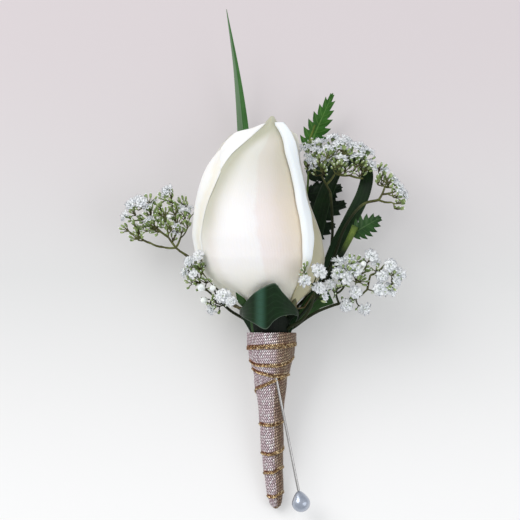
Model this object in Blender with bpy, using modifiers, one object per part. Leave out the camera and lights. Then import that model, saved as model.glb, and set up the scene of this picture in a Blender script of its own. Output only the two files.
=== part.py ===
"""A rose boutonniere lying on its back, as an assembly of separate pieces.

The pieces are drawn straight, in millimetres, with the stem's axis along +Y, the face of the
flower towards +Z, and Y = 0 at the mouth of the ribbon wrap. One empty then tips the whole piece
back until it rests on its leaves and on the end of its stem, and brings it to metres.
"""

import math
import random

import bmesh
import bpy
from mathutils import Matrix, Vector

# ---------------------------------------------------------------- driving dimensions, in mm
MM = 0.001
SHEET = 0.6          # thickness of petals and leaf blades
GAP = 0.3            # clearance between pieces that touch on the real thing

# The table that the piece lies on, as a plane in the straight frame.
REST_END_Y = -52.0   # where the wrapped stem touches the table
REST_END_DROP = 2.8  # how far the table lies behind the stem's axis there
REST_SLOPE = 0.2     # how fast the table falls away behind the axis, towards the flower

# The rose bud.
BUD_BASE_Y = 9.7
BUD_HEIGHT = 62.6
BUD_FRONT = 0.92     # depth of the bud's front half against its width
BUD_BACK = 0.74      # the back half is pressed flatter by what it lies on
PETAL_STEP = 1.4     # from one layer of petals to the next

# Stems.
BUNDLE_X = 2.8       # the stem's axis, right of the bud's middle
ROSE_STEM_R = 2.6
TWIG_R = 0.42
BUNDLE_R = ROSE_STEM_R + GAP + TWIG_R + 0.4   # ring of thin stems round the rose's
STRIP_R = 6.6        # ring of leaf ends, round those

# The ribbon wrap.
RIBBON_WALL = 0.7

# The pearl-headed pin.
PIN_R = 0.45
PIN_ENTRY = Vector((4.7, -16.5, 5.1))
PEARL_CENTRE = Vector((12.6, -56.3, 5.6))
PEARL_R = 3.1
PIN_HIDDEN = 9.0     # how far the point runs on inside the wrap


# ---------------------------------------------------------------- helpers
def smooth_table(stations):
    """A function through (position, value) pairs, with level ends and no overshoot."""
    xs = [s[0] for s in stations]
    ys = [s[1] for s in stations]
    slopes = [0.0] * len(xs)
    for i in range(1, len(xs) - 1):
        before = (ys[i] - ys[i - 1]) / (xs[i] - xs[i - 1])
        after = (ys[i + 1] - ys[i]) / (xs[i + 1] - xs[i])
        if before * after > 0:
            slopes[i] = 2 * before * after / (before + after)
    slopes[0] = (ys[1] - ys[0]) / (xs[1] - xs[0])
    slopes[-1] = (ys[-1] - ys[-2]) / (xs[-1] - xs[-2])

    def value(x):
        x = min(max(x, xs[0]), xs[-1])
        i = max(j for j in range(len(xs) - 1) if xs[j] <= x)
        width = xs[i + 1] - xs[i]
        t = (x - xs[i]) / width
        return (
            ys[i] * (1 + 2 * t) * (1 - t) ** 2
            + slopes[i] * width * t * (1 - t) ** 2
            + ys[i + 1] * t * t * (3 - 2 * t)
            + slopes[i + 1] * width * t * t * (t - 1)
        )

    return value


def straight_table(stations):
    """A function through (position, value) pairs, straight from one to the next."""
    def value(x):
        x = min(max(x, stations[0][0]), stations[-1][0])
        i = max(j for j in range(len(stations) - 1) if stations[j][0] <= x)
        (x0, y0), (x1, y1) = stations[i], stations[i + 1]
        return y0 + (y1 - y0) * (x - x0) / (x1 - x0)

    return value


def blend(a, b, t):
    return a + (b - a) * t


def table_z(y):
    """The table's height under the axis, in the straight frame."""
    return -(REST_END_DROP + REST_SLOPE * (y - REST_END_Y))


# The wrap's outside radius, and the place of the stem's axis, along Y.
WRAP_RADIUS = smooth_table([
    (-58.3, 0.9), (-57.0, 1.9), (-55.0, 2.5), (-53.0, 2.8), (-49.0, 3.15), (-44.0, 3.45), (-39.0, 3.8),
    (-34.0, 4.0), (-29.0, 4.1), (-24.0, 4.4), (-19.7, 5.1), (-14.7, 5.8), (-11.3, 6.7), (-7.3, 7.7),
    (-4.0, 8.1), (0.4, 8.4),
])
STEM_CENTRE = smooth_table([
    (-58.5, 4.2), (-53.0, 3.95), (-44.0, 3.3), (-34.0, 2.9), (-20.0, 2.6), (0.0, BUNDLE_X),
    (20.0, BUNDLE_X),
])


def bundle_point(angle_deg, radius, y):
    """A place in the bundle of stems. Angle 0 is right, 90 is the front."""
    a = math.radians(angle_deg)
    return Vector((STEM_CENTRE(y) + radius * math.cos(a), y, radius * math.sin(a)))


def material(name, colour, roughness, metallic=0.0):
    made = bpy.data.materials.new(name)
    made.use_nodes = True
    shader = made.node_tree.nodes["Principled BSDF"]
    shader.inputs["Base Color"].default_value = (*colour, 1.0)
    shader.inputs["Roughness"].default_value = roughness
    shader.inputs["Metallic"].default_value = metallic
    return made


def new_object(name, mesh, finish):
    made = bpy.data.objects.new(name, mesh)
    PIECES.objects.link(made)
    made.data.materials.append(finish)
    made.parent = REST
    return made


def mesh_from(bm, name):
    mesh = bpy.data.meshes.new(name)
    bm.to_mesh(mesh)
    bm.free()
    return mesh


def smooth_shaded(made, angle_deg=40):
    made.data.shade_smooth()
    made.data.set_sharp_from_angle(angle=math.radians(angle_deg))
    return made


def sheet(name, across, along, place, finish, thickness=SHEET, side=0.0):
    """A thin blade or petal: a grid laid on the surface place(u, v), then given its thickness."""
    bm = bmesh.new()
    bmesh.ops.create_grid(bm, x_segments=across, y_segments=along, size=1.0)
    for vertex in bm.verts:
        vertex.co = place((vertex.co.x + 1) / 2, (vertex.co.y + 1) / 2)
        vertex.co.z = max(vertex.co.z, table_z(vertex.co.y) + 0.51 * thickness)
    bmesh.ops.triangulate(bm, faces=bm.faces[:])
    made = new_object(name, mesh_from(bm, name), finish)
    solid = made.modifiers.new("Thickness", "SOLIDIFY")
    solid.thickness = thickness
    solid.offset = side
    return made


def tube(name, points, radii, finish, sides=1):
    """A round stem through a list of points, thinning as radii says."""
    curve = bpy.data.curves.new(name, "CURVE")
    curve.dimensions = "3D"
    curve.bevel_depth = 1.0
    curve.bevel_resolution = sides
    curve.use_fill_caps = True
    spline = curve.splines.new("POLY")
    spline.points.add(len(points) - 1)
    for target, point, radius in zip(spline.points, points, radii):
        target.co = (*point, 1.0)
        target.radius = radius
    return new_object(name, curve, finish)


def as_mesh(made):
    """The evaluated object as a plain mesh object of the same name, its seams closed."""
    bpy.context.view_layer.update()
    graph = bpy.context.evaluated_depsgraph_get()
    mesh = bpy.data.meshes.new_from_object(made.evaluated_get(graph))
    bm = bmesh.new()
    bm.from_mesh(mesh)
    bmesh.ops.remove_doubles(bm, verts=bm.verts[:], dist=0.0001)
    bmesh.ops.recalc_face_normals(bm, faces=bm.faces[:])
    bm.to_mesh(mesh)
    bm.free()
    name = made.name
    finish = made.active_material
    bpy.data.objects.remove(made)
    mesh.materials.clear()
    return new_object(name, mesh, finish)


def fuse(name, parts, finish):
    """Joins the parts into one closed body."""
    body = as_mesh(parts[0])
    others = bpy.data.collections.new(name + "_repeats")
    bpy.context.scene.collection.children.link(others)
    for part in parts[1:]:
        piece = as_mesh(part)
        PIECES.objects.unlink(piece)
        others.objects.link(piece)
    join = body.modifiers.new("Join", "BOOLEAN")
    join.operation = "UNION"
    join.operand_type = "COLLECTION"
    join.collection = others
    join.solver = "MANIFOLD"
    fused = as_mesh(body)
    bm = bmesh.new()
    bm.from_mesh(fused.data)
    bmesh.ops.dissolve_limit(bm, angle_limit=math.radians(3), verts=bm.verts[:], edges=bm.edges[:])
    bmesh.ops.triangulate(bm, faces=bm.faces[:])
    bm.to_mesh(fused.data)
    bm.free()
    for piece in list(others.objects):
        bpy.data.objects.remove(piece)
    bpy.data.collections.remove(others)
    fused.name = name
    fused.data.materials.clear()
    fused.data.materials.append(finish)
    return fused


def smooth_path(points, steps):
    """Points on one smooth curve through the given ones (Catmull-Rom), `steps` to each span."""
    ends = [points[0] * 2 - points[1], *points, points[-1] * 2 - points[-2]]
    path = []
    for i in range(1, len(ends) - 2):
        p0, p1, p2, p3 = ends[i - 1:i + 3]
        for k in range(steps):
            t = k / steps
            path.append(
                0.5 * (2 * p1 + (p2 - p0) * t + (2 * p0 - 5 * p1 + 4 * p2 - p3) * t * t
                       + (3 * p1 - p0 - 3 * p2 + p3) * t ** 3)
            )
    path.append(points[-1].copy())
    return path


# ---------------------------------------------------------------- the rose bud
BUD_RADIUS = smooth_table([
    (0.0, 7.8), (0.06, 11.4), (0.13, 15.8), (0.19, 18.0), (0.26, 19.2), (0.34, 19.2), (0.42, 18.2),
    (0.55, 15.8), (0.63, 14.2), (0.71, 12.3), (0.79, 9.9), (0.86, 7.5), (0.91, 5.3), (0.97, 2.4),
    (1.0, 1.5),
])
BUD_CENTRE = smooth_table([
    (0.0, BUNDLE_X), (0.06, 1.8), (0.13, 0.8), (0.19, 0.3), (0.26, -0.4), (0.34, -1.2), (0.42, -1.8),
    (0.55, -2.6), (0.63, -2.3), (0.71, -1.7), (0.79, -0.5), (0.86, 1.4), (0.91, 2.4), (1.0, 3.2),
])
LEFT_FLARE = smooth_table([
    (0.0, 0.0), (0.06, 0.9), (0.15, 0.4), (0.3, 0.2), (0.42, 0.7), (0.55, 1.2), (0.69, 2.4),
    (0.79, 3.6), (0.87, 4.7), (0.91, 4.4), (1.0, 2.4),
])


def bud_point(angle, h, layer):
    """A point of the bud. Angle 0 faces the front, 90 degrees the right. Layer 0 is the petal that
    closes the front; each step of 1 lies one petal further out. The left side opens a little."""
    left = max(0.0, -math.sin(angle))
    radius = max(BUD_RADIUS(h) + layer * PETAL_STEP, 0.4)
    radius += LEFT_FLARE(h) * left * min(max(layer, 0.0), 3.0) * 0.46
    depth = BUD_FRONT if math.cos(angle) > 0 else BUD_BACK
    return Vector((
        BUD_CENTRE(h) + radius * math.sin(angle),
        BUD_BASE_Y + BUD_HEIGHT * h,
        radius * math.cos(angle) * depth,
    ))


def petal(name, layer, margin, far, top, roll=None, across=12, along=12):
    """One petal of the bud. margin(h) and far(h) are the angles of its two side edges, and top(u) is
    the height that it reaches. roll(h) gives the radius, turn and flap of a rolled-back margin."""
    flap = 5 if roll else 0

    def place(u, v):
        step = u * (across + flap)
        share = max(step - flap, 0) / across
        h = 0.004 + (top(share) - 0.004) * v ** 1.25
        edge = math.radians(margin(h))
        if step >= flap:
            return bud_point(blend(edge, math.radians(far(h)), share), h, layer)
        radius, turn, length = roll(h)
        start = bud_point(edge, h, layer)
        inward = bud_point(edge + math.copysign(0.02, math.radians(far(h)) - edge), h, layer)
        forward = (start - inward).normalized()
        outward = Vector((forward.z, 0, -forward.x))
        if outward.dot(start - Vector((BUD_CENTRE(h), start.y, 0))) < 0:
            outward.negate()
        done = (flap - step) / flap
        bend = math.radians(turn) * min(done / 0.8, 1.0)
        rest = length * max(done - 0.8, 0) / 0.2
        return (
            start
            + forward * (radius * math.sin(bend) + rest * math.cos(bend))
            + outward * (radius * (1 - math.cos(bend)) + rest * math.sin(bend))
        )

    return sheet(name, across + flap, along, place, PETAL)


def level(value):
    return lambda _: value


def build_rose():
    """The petals that show, from the front one out, one more inside, and the rolled heart."""
    petal("rose_petal_front", 0, level(-112), level(80), lambda u: 1.0 - 0.16 * abs(1.8 * u - 1) ** 2.4,
          across=12, along=12)
    petal("rose_petal_right", 1,
          smooth_table([(0, 48), (0.2, 44), (0.35, 48), (0.5, 56), (0.65, 62), (0.8, 60), (0.9, 52), (1, 40)]),
          level(176), lambda u: 0.965 - 0.05 * u,
          roll=lambda h: (blend(0.5, 1.45, min(h / 0.3, 1)), 160, 1.6 * min(h / 0.35, 1)),
          across=9, along=12)
    petal("rose_petal_left_inner", 1, level(-84), level(-172), lambda u: 0.9 - 0.04 * (2 * u - 1) ** 2,
          roll=lambda h: (0.7, 70, 0.5), across=6, along=10)
    petal("rose_petal_left_outer", 2,
          smooth_table([(0, -86), (0.4, -90), (0.8, -96), (1, -104)]),
          level(-228), lambda u: 0.8 + 0.07 * math.sin(math.pi * min(u * 1.6, 1.0)),
          roll=lambda h: (blend(0.4, 1.0, min(h / 0.3, 1, max(0.84 - h, 0) / 0.16)), 125, 0.7),
          across=9, along=11)
    petal("rose_petal_back", 3, level(-122), level(-244), lambda u: 0.955 - 0.05 * (2 * u - 1) ** 2,
          across=8, along=10)
    petal("rose_petal_inner", -1, level(64), level(262), lambda u: 0.93 - 0.05 * u, across=10, along=9)
    build_heart()
    build_rose_stem()


def build_heart():
    """The innermost petal, rolled one and three quarter turns round the column."""
    turns = 1.75

    def place(u, v):
        h = blend(0.05, 0.88, v)
        radius = max(BUD_RADIUS(h) - 2.2 * PETAL_STEP, 2.2) * (1 - 0.56 * u)
        angle = 2 * math.pi * turns * u
        return Vector((
            BUD_CENTRE(h) + radius * math.sin(angle),
            BUD_BASE_Y + BUD_HEIGHT * h,
            radius * math.cos(angle) * BUD_BACK,
        ))

    sheet("rose_heart", 18, 7, place, PETAL)


def build_rose_stem():
    """The rose's own stem with its hip, the column inside the bud, and five sepals, grown as one."""
    hip = BUD_BASE_Y - GAP
    outline = [
        (-51.5, 1.7), (-47.0, 2.2), (-38.0, 2.6), (-20.0, ROSE_STEM_R), (1.0, ROSE_STEM_R),
        (3.4, 3.4), (5.6, 5.0), (7.6, 6.2), (hip - 0.5, 7.7), (hip, 8.1),
        (hip, 1.25), (hip + 8.0, 1.0),
    ]
    parts = [turned("rose_stem", outline, 12, GREEN_STEM, STEM_CENTRE)]
    for angle, layer in ((-15, 0.9), (40, 2.0), (96, 2.25), (180, 4.1), (250, 3.1)):
        parts.append(sepal(angle, layer))
    smooth_shaded(fuse("rose_stem_with_calyx", parts, GREEN_STEM))


def turned(name, outline, steps, finish, x):
    """A closed turned body about the stem's axis, from (y, radius) pairs, bottom to top."""
    bm = bmesh.new()
    profile = [(outline[0][0], 0.0), *outline, (outline[-1][0], 0.0)]
    verts = [bm.verts.new((radius, y, 0)) for y, radius in profile]
    for a, b in zip(verts, verts[1:]):
        bm.edges.new((a, b))
    bmesh.ops.spin(
        bm, geom=bm.verts[:] + bm.edges[:], axis=(0, 1, 0), cent=(0, 0, 0),
        steps=steps, angle=2 * math.pi, use_merge=True,
    )
    bmesh.ops.remove_doubles(bm, verts=bm.verts[:], dist=0.0005)
    bmesh.ops.recalc_face_normals(bm, faces=bm.faces[:])
    for vertex in bm.verts:
        vertex.co.x += x(vertex.co.y)
    return new_object(name, mesh_from(bm, name), finish)


def sepal(angle_deg, layer):
    """A short pointed sepal: out under the petals from the rim of the hip, then up outside them."""
    a = math.radians(angle_deg)

    def place(u, v):
        turn = a + (math.radians(16) * (1 - v) ** 0.8 + math.radians(1.5)) * (2 * u - 1)
        rim = bud_point(turn, 0.0, layer)
        if v > 0.35:
            return bud_point(turn, 0.085 * (v - 0.35) / 0.65, layer) - Vector((0, 1.2, 0))
        root = bud_point(turn, 0.0, -1.2) - Vector((0, 1.9, 0))
        return root.lerp(rim - Vector((0, 1.2, 0)), v / 0.35)

    return sheet(f"sepal_{angle_deg}", 2, 6, place, GREEN_STEM, thickness=0.7)


# ---------------------------------------------------------------- leaves
def ribbon_leaf(name, spine, widths, facing, finish, rows, across=2, fold=0.0, side=0.0):
    """A strap-shaped leaf along a spine. facing(t) is the direction that its face looks in, and
    fold is how deep its V-shaped midrib lies, as a share of its half width."""
    path = smooth_path(spine, 8)

    def at(t):
        place = t * (len(path) - 1)
        i = min(int(place), len(path) - 2)
        return path[i].lerp(path[i + 1], place - i), (path[i + 1] - path[i]).normalized()

    def place(u, v):
        point, along = at(v)
        face = facing(v)
        face = (face - along * face.dot(along)).normalized()
        cross = along.cross(face)
        half = widths(v)
        offset = 2 * u - 1
        return point + cross * half * offset + face * half * fold * (abs(offset) - 0.5)

    return sheet(name, across, rows, place, finish, side=side)


def turning(angle_deg, final, until=0.3):
    """Faces away from the stem where a leaf leaves the wrap, then turns to its own direction."""
    a = math.radians(angle_deg)
    radial = Vector((math.cos(a), 0, math.sin(a)))

    def facing(t):
        share = min(max(t - 0.1, 0.0) / until, 1.0)
        target = final(t) if callable(final) else final
        return radial.lerp(target.normalized(), share * share * (3 - 2 * share))

    return facing


def toothed_leaf(name, base, tip, half_width, teeth, facing, finish, cut=0.3, bow=0.0, lobes=0.0):
    """A pointed leaf with a saw edge: straight midrib from base to tip, teeth on both sides."""
    along = (tip - base).normalized()
    face = (facing - along * facing.dot(along)).normalized()
    cross = along.cross(face)
    length = (tip - base).length

    def place(u, v):
        offset = 2 * u - 1
        row = round(v * 2 * teeth)
        full = math.sin(math.pi * min(0.12 + 0.88 * v ** 0.8, 1.0)) ** 0.8
        half = half_width * full * (1.0 if row % 2 else 1 - cut - lobes * (1 - v))
        if row == 2 * teeth:
            half = 0.12
        lean = 0.07 * length * abs(offset) * (1 if row % 2 else 0)
        return (
            base + along * (length * v + lean) + cross * half * offset
            + face * (bow * length * 4 * v * (1 - v) - 0.25 * half * abs(offset))
        )

    return sheet(name, 2, 2 * teeth, place, finish)


def lie(x, y, up=0.31):
    """A point just over the table."""
    return Vector((x, y, table_z(y) + up))


def build_grass_blade():
    """One narrow blade that lies under the bud and stands out above it."""
    spine = [
        bundle_point(246, STRIP_R - 0.3, -3.0), bundle_point(246, STRIP_R, 1.2), Vector((-1.4, 7.0, -11.6)),
        lie(-3.0, 14.0, 0.5), lie(-3.9, 21.0), lie(-4.6, 29.0), lie(-5.2, 38.0),
        Vector((-5.9, 52.0, -22.2)), Vector((-6.7, 68.0, -21.2)), Vector((-8.9, 88.0, -18.5)),
        Vector((-12.3, 108.8, -15.5)),
    ]
    width = smooth_table([
        (0, 0.9), (0.2, 2.0), (0.45, 2.3), (0.66, 2.25), (0.8, 1.95), (0.855, 1.5), (0.91, 0.9),
        (0.96, 0.45), (1, 0.2),
    ])
    ribbon_leaf("grass_blade", spine, width, turning(246, Vector((0.0, REST_SLOPE, 1.0)) * -1, 0.12), LEAF, 26)


def build_back_loop():
    """A strap leaf that goes up behind the bud's right side, turns over, and comes back down."""
    spine = [
        bundle_point(292, STRIP_R - 0.4, -3.0), bundle_point(293, STRIP_R - 0.2, 2.0), Vector((9.4, 9.4, -10.8)),
        Vector((13.4, 19.0, -14.8)), Vector((17.2, 32.0, -15.6)), Vector((20.2, 44.0, -14.8)),
        Vector((25.0, 54.6, -13.0)), Vector((31.0, 58.4, -11.0)), Vector((34.8, 54.2, -9.0)),
        Vector((33.6, 46.6, -8.2)), Vector((29.2, 37.4, -8.3)), Vector((24.9, 28.6, -9.6)),
        Vector((20.3, 17.6, -10.6)), Vector((14.0, 7.6, -8.0)), bundle_point(313, STRIP_R - 0.2, 2.0),
        bundle_point(313, STRIP_R - 0.3, -3.0),
    ]
    width = smooth_table([
        (0, 0.9), (0.15, 1.8), (0.27, 2.8), (0.36, 2.7), (0.48, 2.1), (0.6, 2.3), (0.75, 2.6), (0.87, 2.0), (1, 0.9),
    ])
    lean = smooth_table([(0, 10.0), (0.2, -8.0), (0.35, -30.0), (0.47, -80.0), (0.55, -20.0), (0.7, 10.0),
                         (0.85, 15.0), (0.94, 60.0), (1.0, 132.0)])

    def facing(t):
        turn = math.radians(lean(t))
        return Vector((math.sin(turn), 0.0, math.cos(turn)))

    ribbon_leaf("leaf_loop_back", spine, width, facing, LEAF, 34)


def build_front_loop():
    """A broad piece of strap leaf, looped across the front below the bud, its ends in the wrap."""
    top = straight_table([
        (-1, -2.0), (-0.82, 2.6), (-0.66, 7.6), (-0.5, 9.4), (-0.3, 13.2), (0, 16.2), (0.13, 16.8),
        (0.3, 13.6), (0.5, 10.2), (0.66, 7.0), (0.82, 2.6), (1, -2.0),
    ])
    foot = straight_table([
        (-1, -4.0), (-0.82, 0.6), (-0.66, 6.0), (-0.5, 5.2), (-0.3, 3.4), (-0.06, 1.4), (0.13, 4.2),
        (0.3, 5.8), (0.5, 6.2), (0.66, 5.4), (0.82, 0.6), (1, -4.0),
    ])
    sideways = smooth_table([
        (-1, -5.9), (-0.82, -6.5), (-0.66, -10.4), (-0.5, -9.3), (-0.3, -6.0), (0, -1.0), (0.13, 0.9),
        (0.3, 3.8), (0.5, 6.8), (0.66, 8.8), (0.82, 6.1), (1, 5.6),
    ])
    forward = smooth_table([
        (-1, -1.2), (-0.82, -0.2), (-0.66, 1.2), (-0.5, 6.4), (-0.3, 11.0), (0, 13.8), (0.13, 13.9),
        (0.3, 13.0), (0.5, 10.3), (0.66, 6.0), (0.82, 2.5), (1, 2.0),
    ])

    def place(u, v):
        s = 2 * u - 1
        y = blend(foot(s), top(s), v)
        out = forward(s) + 0.45 * (y - (foot(s) + top(s)) / 2)
        return Vector((BUNDLE_X + sideways(s), y, out))

    sheet("leaf_loop_front", 22, 3, place, LEAF)


def build_fern():
    """The backing frond: a midrib behind the bud with toothed pinnae, grown as one."""
    face = Vector((0.0, 0.2, 1.0))
    rib = smooth_path([
        bundle_point(262, BUNDLE_R, -15.0), bundle_point(262, BUNDLE_R, -3.0),
        Vector((3.4, 3.0, -7.6)), Vector((5.2, 9.4, -13.2)), lie(7.6, 17.0, 0.9), lie(10.6, 26.0, 0.9),
        lie(13.4, 37.0, 0.9), Vector((15.2, 50.0, -21.6)), Vector((15.6, 63.0, -20.2)),
        Vector((17.6, 70.0, -19.0)),
    ], 3)
    parts = [tube("fern_rib", rib, [0.52] * 20 + [0.4] * (len(rib) - 20), LEAF)]

    def pinna(index, base, tip, half, teeth):
        parts.append(toothed_leaf(f"pinna_{index}", base, tip, half, teeth, face, LEAF, lobes=0.12))

    pinna(0, Vector((15.4, 62.0, -20.2)), Vector((23.6, 80.7, -17.0)), 4.4, 7)
    pinna(1, Vector((14.8, 47.0, -21.8)), Vector((27.0, 49.4, -20.6)), 3.2, 5)
    pinna(2, lie(14.0, 40.0, 0.9), lie(28.4, 44.2, 0.9), 3.4, 5)
    pinna(3, lie(12.4, 32.0, 0.9), lie(25.4, 37.2, 0.9), 3.0, 5)
    smooth_shaded(fuse("fern_frond_back", parts, LEAF), 30)


def build_fern_piece():
    """A second, shorter piece of fern on the right: its rib was cut across, above one pinna."""
    rib = smooth_path([
        bundle_point(8, BUNDLE_R, -14.0), bundle_point(8, BUNDLE_R, -1.5), Vector((12.4, 5.6, 0.8)),
        Vector((19.6, 14.4, 0.4)), Vector((25.2, 24.5, 0.2)), Vector((28.4, 30.6, 0.4)),
        Vector((30.8, 35.6, 0.8)),
    ], 3)
    parts = [tube("fern_piece_rib", rib, [0.42] * 4 + [0.5] * 5 + [0.6 + 0.06 * i for i in range(10)], LEAF, 2)]
    parts.append(toothed_leaf(
        "fern_piece_pinna", Vector((29.6, 33.0, 0.4)), Vector((39.4, 38.7, 1.0)), 4.0, 6,
        Vector((-0.2, 0.1, 1.0)), LEAF))
    smooth_shaded(fuse("fern_piece_right", parts, LEAF), 30)


def build_small_leaves():
    """The pointed leaf tip on the left of the front loop, and the cut leaf end on the right."""
    def stalked(name, angle, spine, widths, final, rows):
        root = [bundle_point(angle, STRIP_R - 0.3, -3.0), bundle_point(angle, STRIP_R, 1.0)]
        ribbon_leaf(name, [*root, *spine], widths, turning(angle, final, 0.5), LEAF, rows)

    stalked(
        "leaf_tip_left", 160, [Vector((-4.2, 6.2, 2.9)), Vector((-6.7, 10.2, 5.3)), Vector((-9.0, 13.6, 7.2))],
        smooth_table([(0, 0.9), (0.4, 1.0), (0.62, 1.1), (0.78, 1.7), (0.92, 0.8), (1, 0.15)]),
        Vector((-0.5, -0.35, 0.8)), 9)
    stalked(
        "leaf_cut_end_right", 335, [Vector((14.4, 5.2, -3.8)), Vector((18.8, 9.2, -3.0)), Vector((23.6, 12.2, -2.2))],
        smooth_table([(0, 0.9), (0.45, 2.2), (0.75, 2.9), (1, 2.8)]),
        Vector((0.1, -0.3, 1.0)), 9)


# ---------------------------------------------------------------- baby's breath
def spray_plan(seed, stem, heads):
    """The twigs and the flowers of one spray. A head is (where on the stem it leaves, its middle,
    how many flowers, how far they spread, their size). Returns (twigs, ends)."""
    draw = random.Random(seed)
    path = smooth_path([Vector(p) for p in stem], 4)
    twigs = [(path, TWIG_R, TWIG_R * 0.8)]
    ends = []
    for leaves_at, middle, count, spread, size in heads:
        middle = Vector(middle)
        start = path[min(round(leaves_at * (len(path) - 1)), len(path) - 1)]
        arm = middle - start
        bend = start + arm * 0.5 + Vector((0, -0.08 * arm.length, 0))
        twigs.append(([start, bend, middle], TWIG_R * 0.85, TWIG_R * 0.75))
        out = arm.normalized()
        side = out.cross(Vector((0, 0, 1))).normalized()
        lift = side.cross(out)
        for k in range(count):
            around = 2.39996 * k + draw.uniform(-0.3, 0.3)
            lean = math.sqrt((k + 0.5) / count) * math.radians(68)
            way = (
                out * math.cos(lean)
                + (side * math.cos(around) + lift * 0.75 * math.sin(around)) * math.sin(lean)
            )
            reach = spread * draw.uniform(0.75, 1.1)
            tip = middle + way * reach
            twigs.append(([middle, tip], TWIG_R * 0.75, TWIG_R * 0.65))
            open_flower = draw.random() < 0.62
            ends.append((tip, way, open_flower, size * draw.uniform(0.8, 1.1)))
    return twigs, ends


def end_twig(name, start, end, radius, finish):
    """The thin straight twig that carries one flower."""
    bm = bmesh.new()
    length = (end - start).length
    bmesh.ops.create_cone(bm, segments=3, radius1=radius * 1.2, radius2=radius, depth=length, cap_ends=True)
    return placed(bm, name, start.lerp(end, 0.5), (end - start).normalized(), finish)


def twig(name, points, start_r, end_r, finish):
    if len(points) == 2:
        return end_twig(name, points[0], points[1], end_r, finish)
    radii = [blend(start_r, end_r, i / (len(points) - 1)) for i in range(len(points))]
    return tube(name, points, radii, finish, sides=0)


def placed(made_bm, name, at, way, finish):
    """Puts a small body, drawn upright about +Z, at a twig's end."""
    turn = Vector((0, 0, 1)).rotation_difference(way).to_matrix().to_4x4()
    bmesh.ops.transform(made_bm, matrix=Matrix.Translation(at) @ turn, verts=made_bm.verts[:])
    return new_object(name, mesh_from(made_bm, name), finish)


def floret(name, at, way, size, finish):
    """An open flower: a cup whose rim is cut into five petals, hollow in the middle."""
    bm = bmesh.new()
    bmesh.ops.create_cone(bm, segments=10, radius1=0.0, radius2=size * 0.5, depth=size * 0.5,
                          cap_ends=True, cap_tris=True)
    for vertex in bm.verts:
        spoke = math.hypot(vertex.co.x, vertex.co.y)
        if vertex.co.z > 0 and spoke > 0:
            turn = math.atan2(vertex.co.y, vertex.co.x)
            share = 1.0 if round(turn / (math.pi / 5)) % 2 else 0.62
            vertex.co.x *= share
            vertex.co.y *= share
            vertex.co.z += 0.1 * size * share
        elif vertex.co.z > 0:
            vertex.co.z -= 0.12 * size
    return placed(bm, name, at, way, finish)


def bud(name, at, way, size, finish):
    """A closed flower bud in its calyx: a small egg."""
    bm = bmesh.new()
    bmesh.ops.create_icosphere(bm, subdivisions=1, radius=size * 0.24)
    bmesh.ops.scale(bm, vec=(1, 1, 1.35), verts=bm.verts[:])
    return placed(bm, name, at, way, finish)


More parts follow.
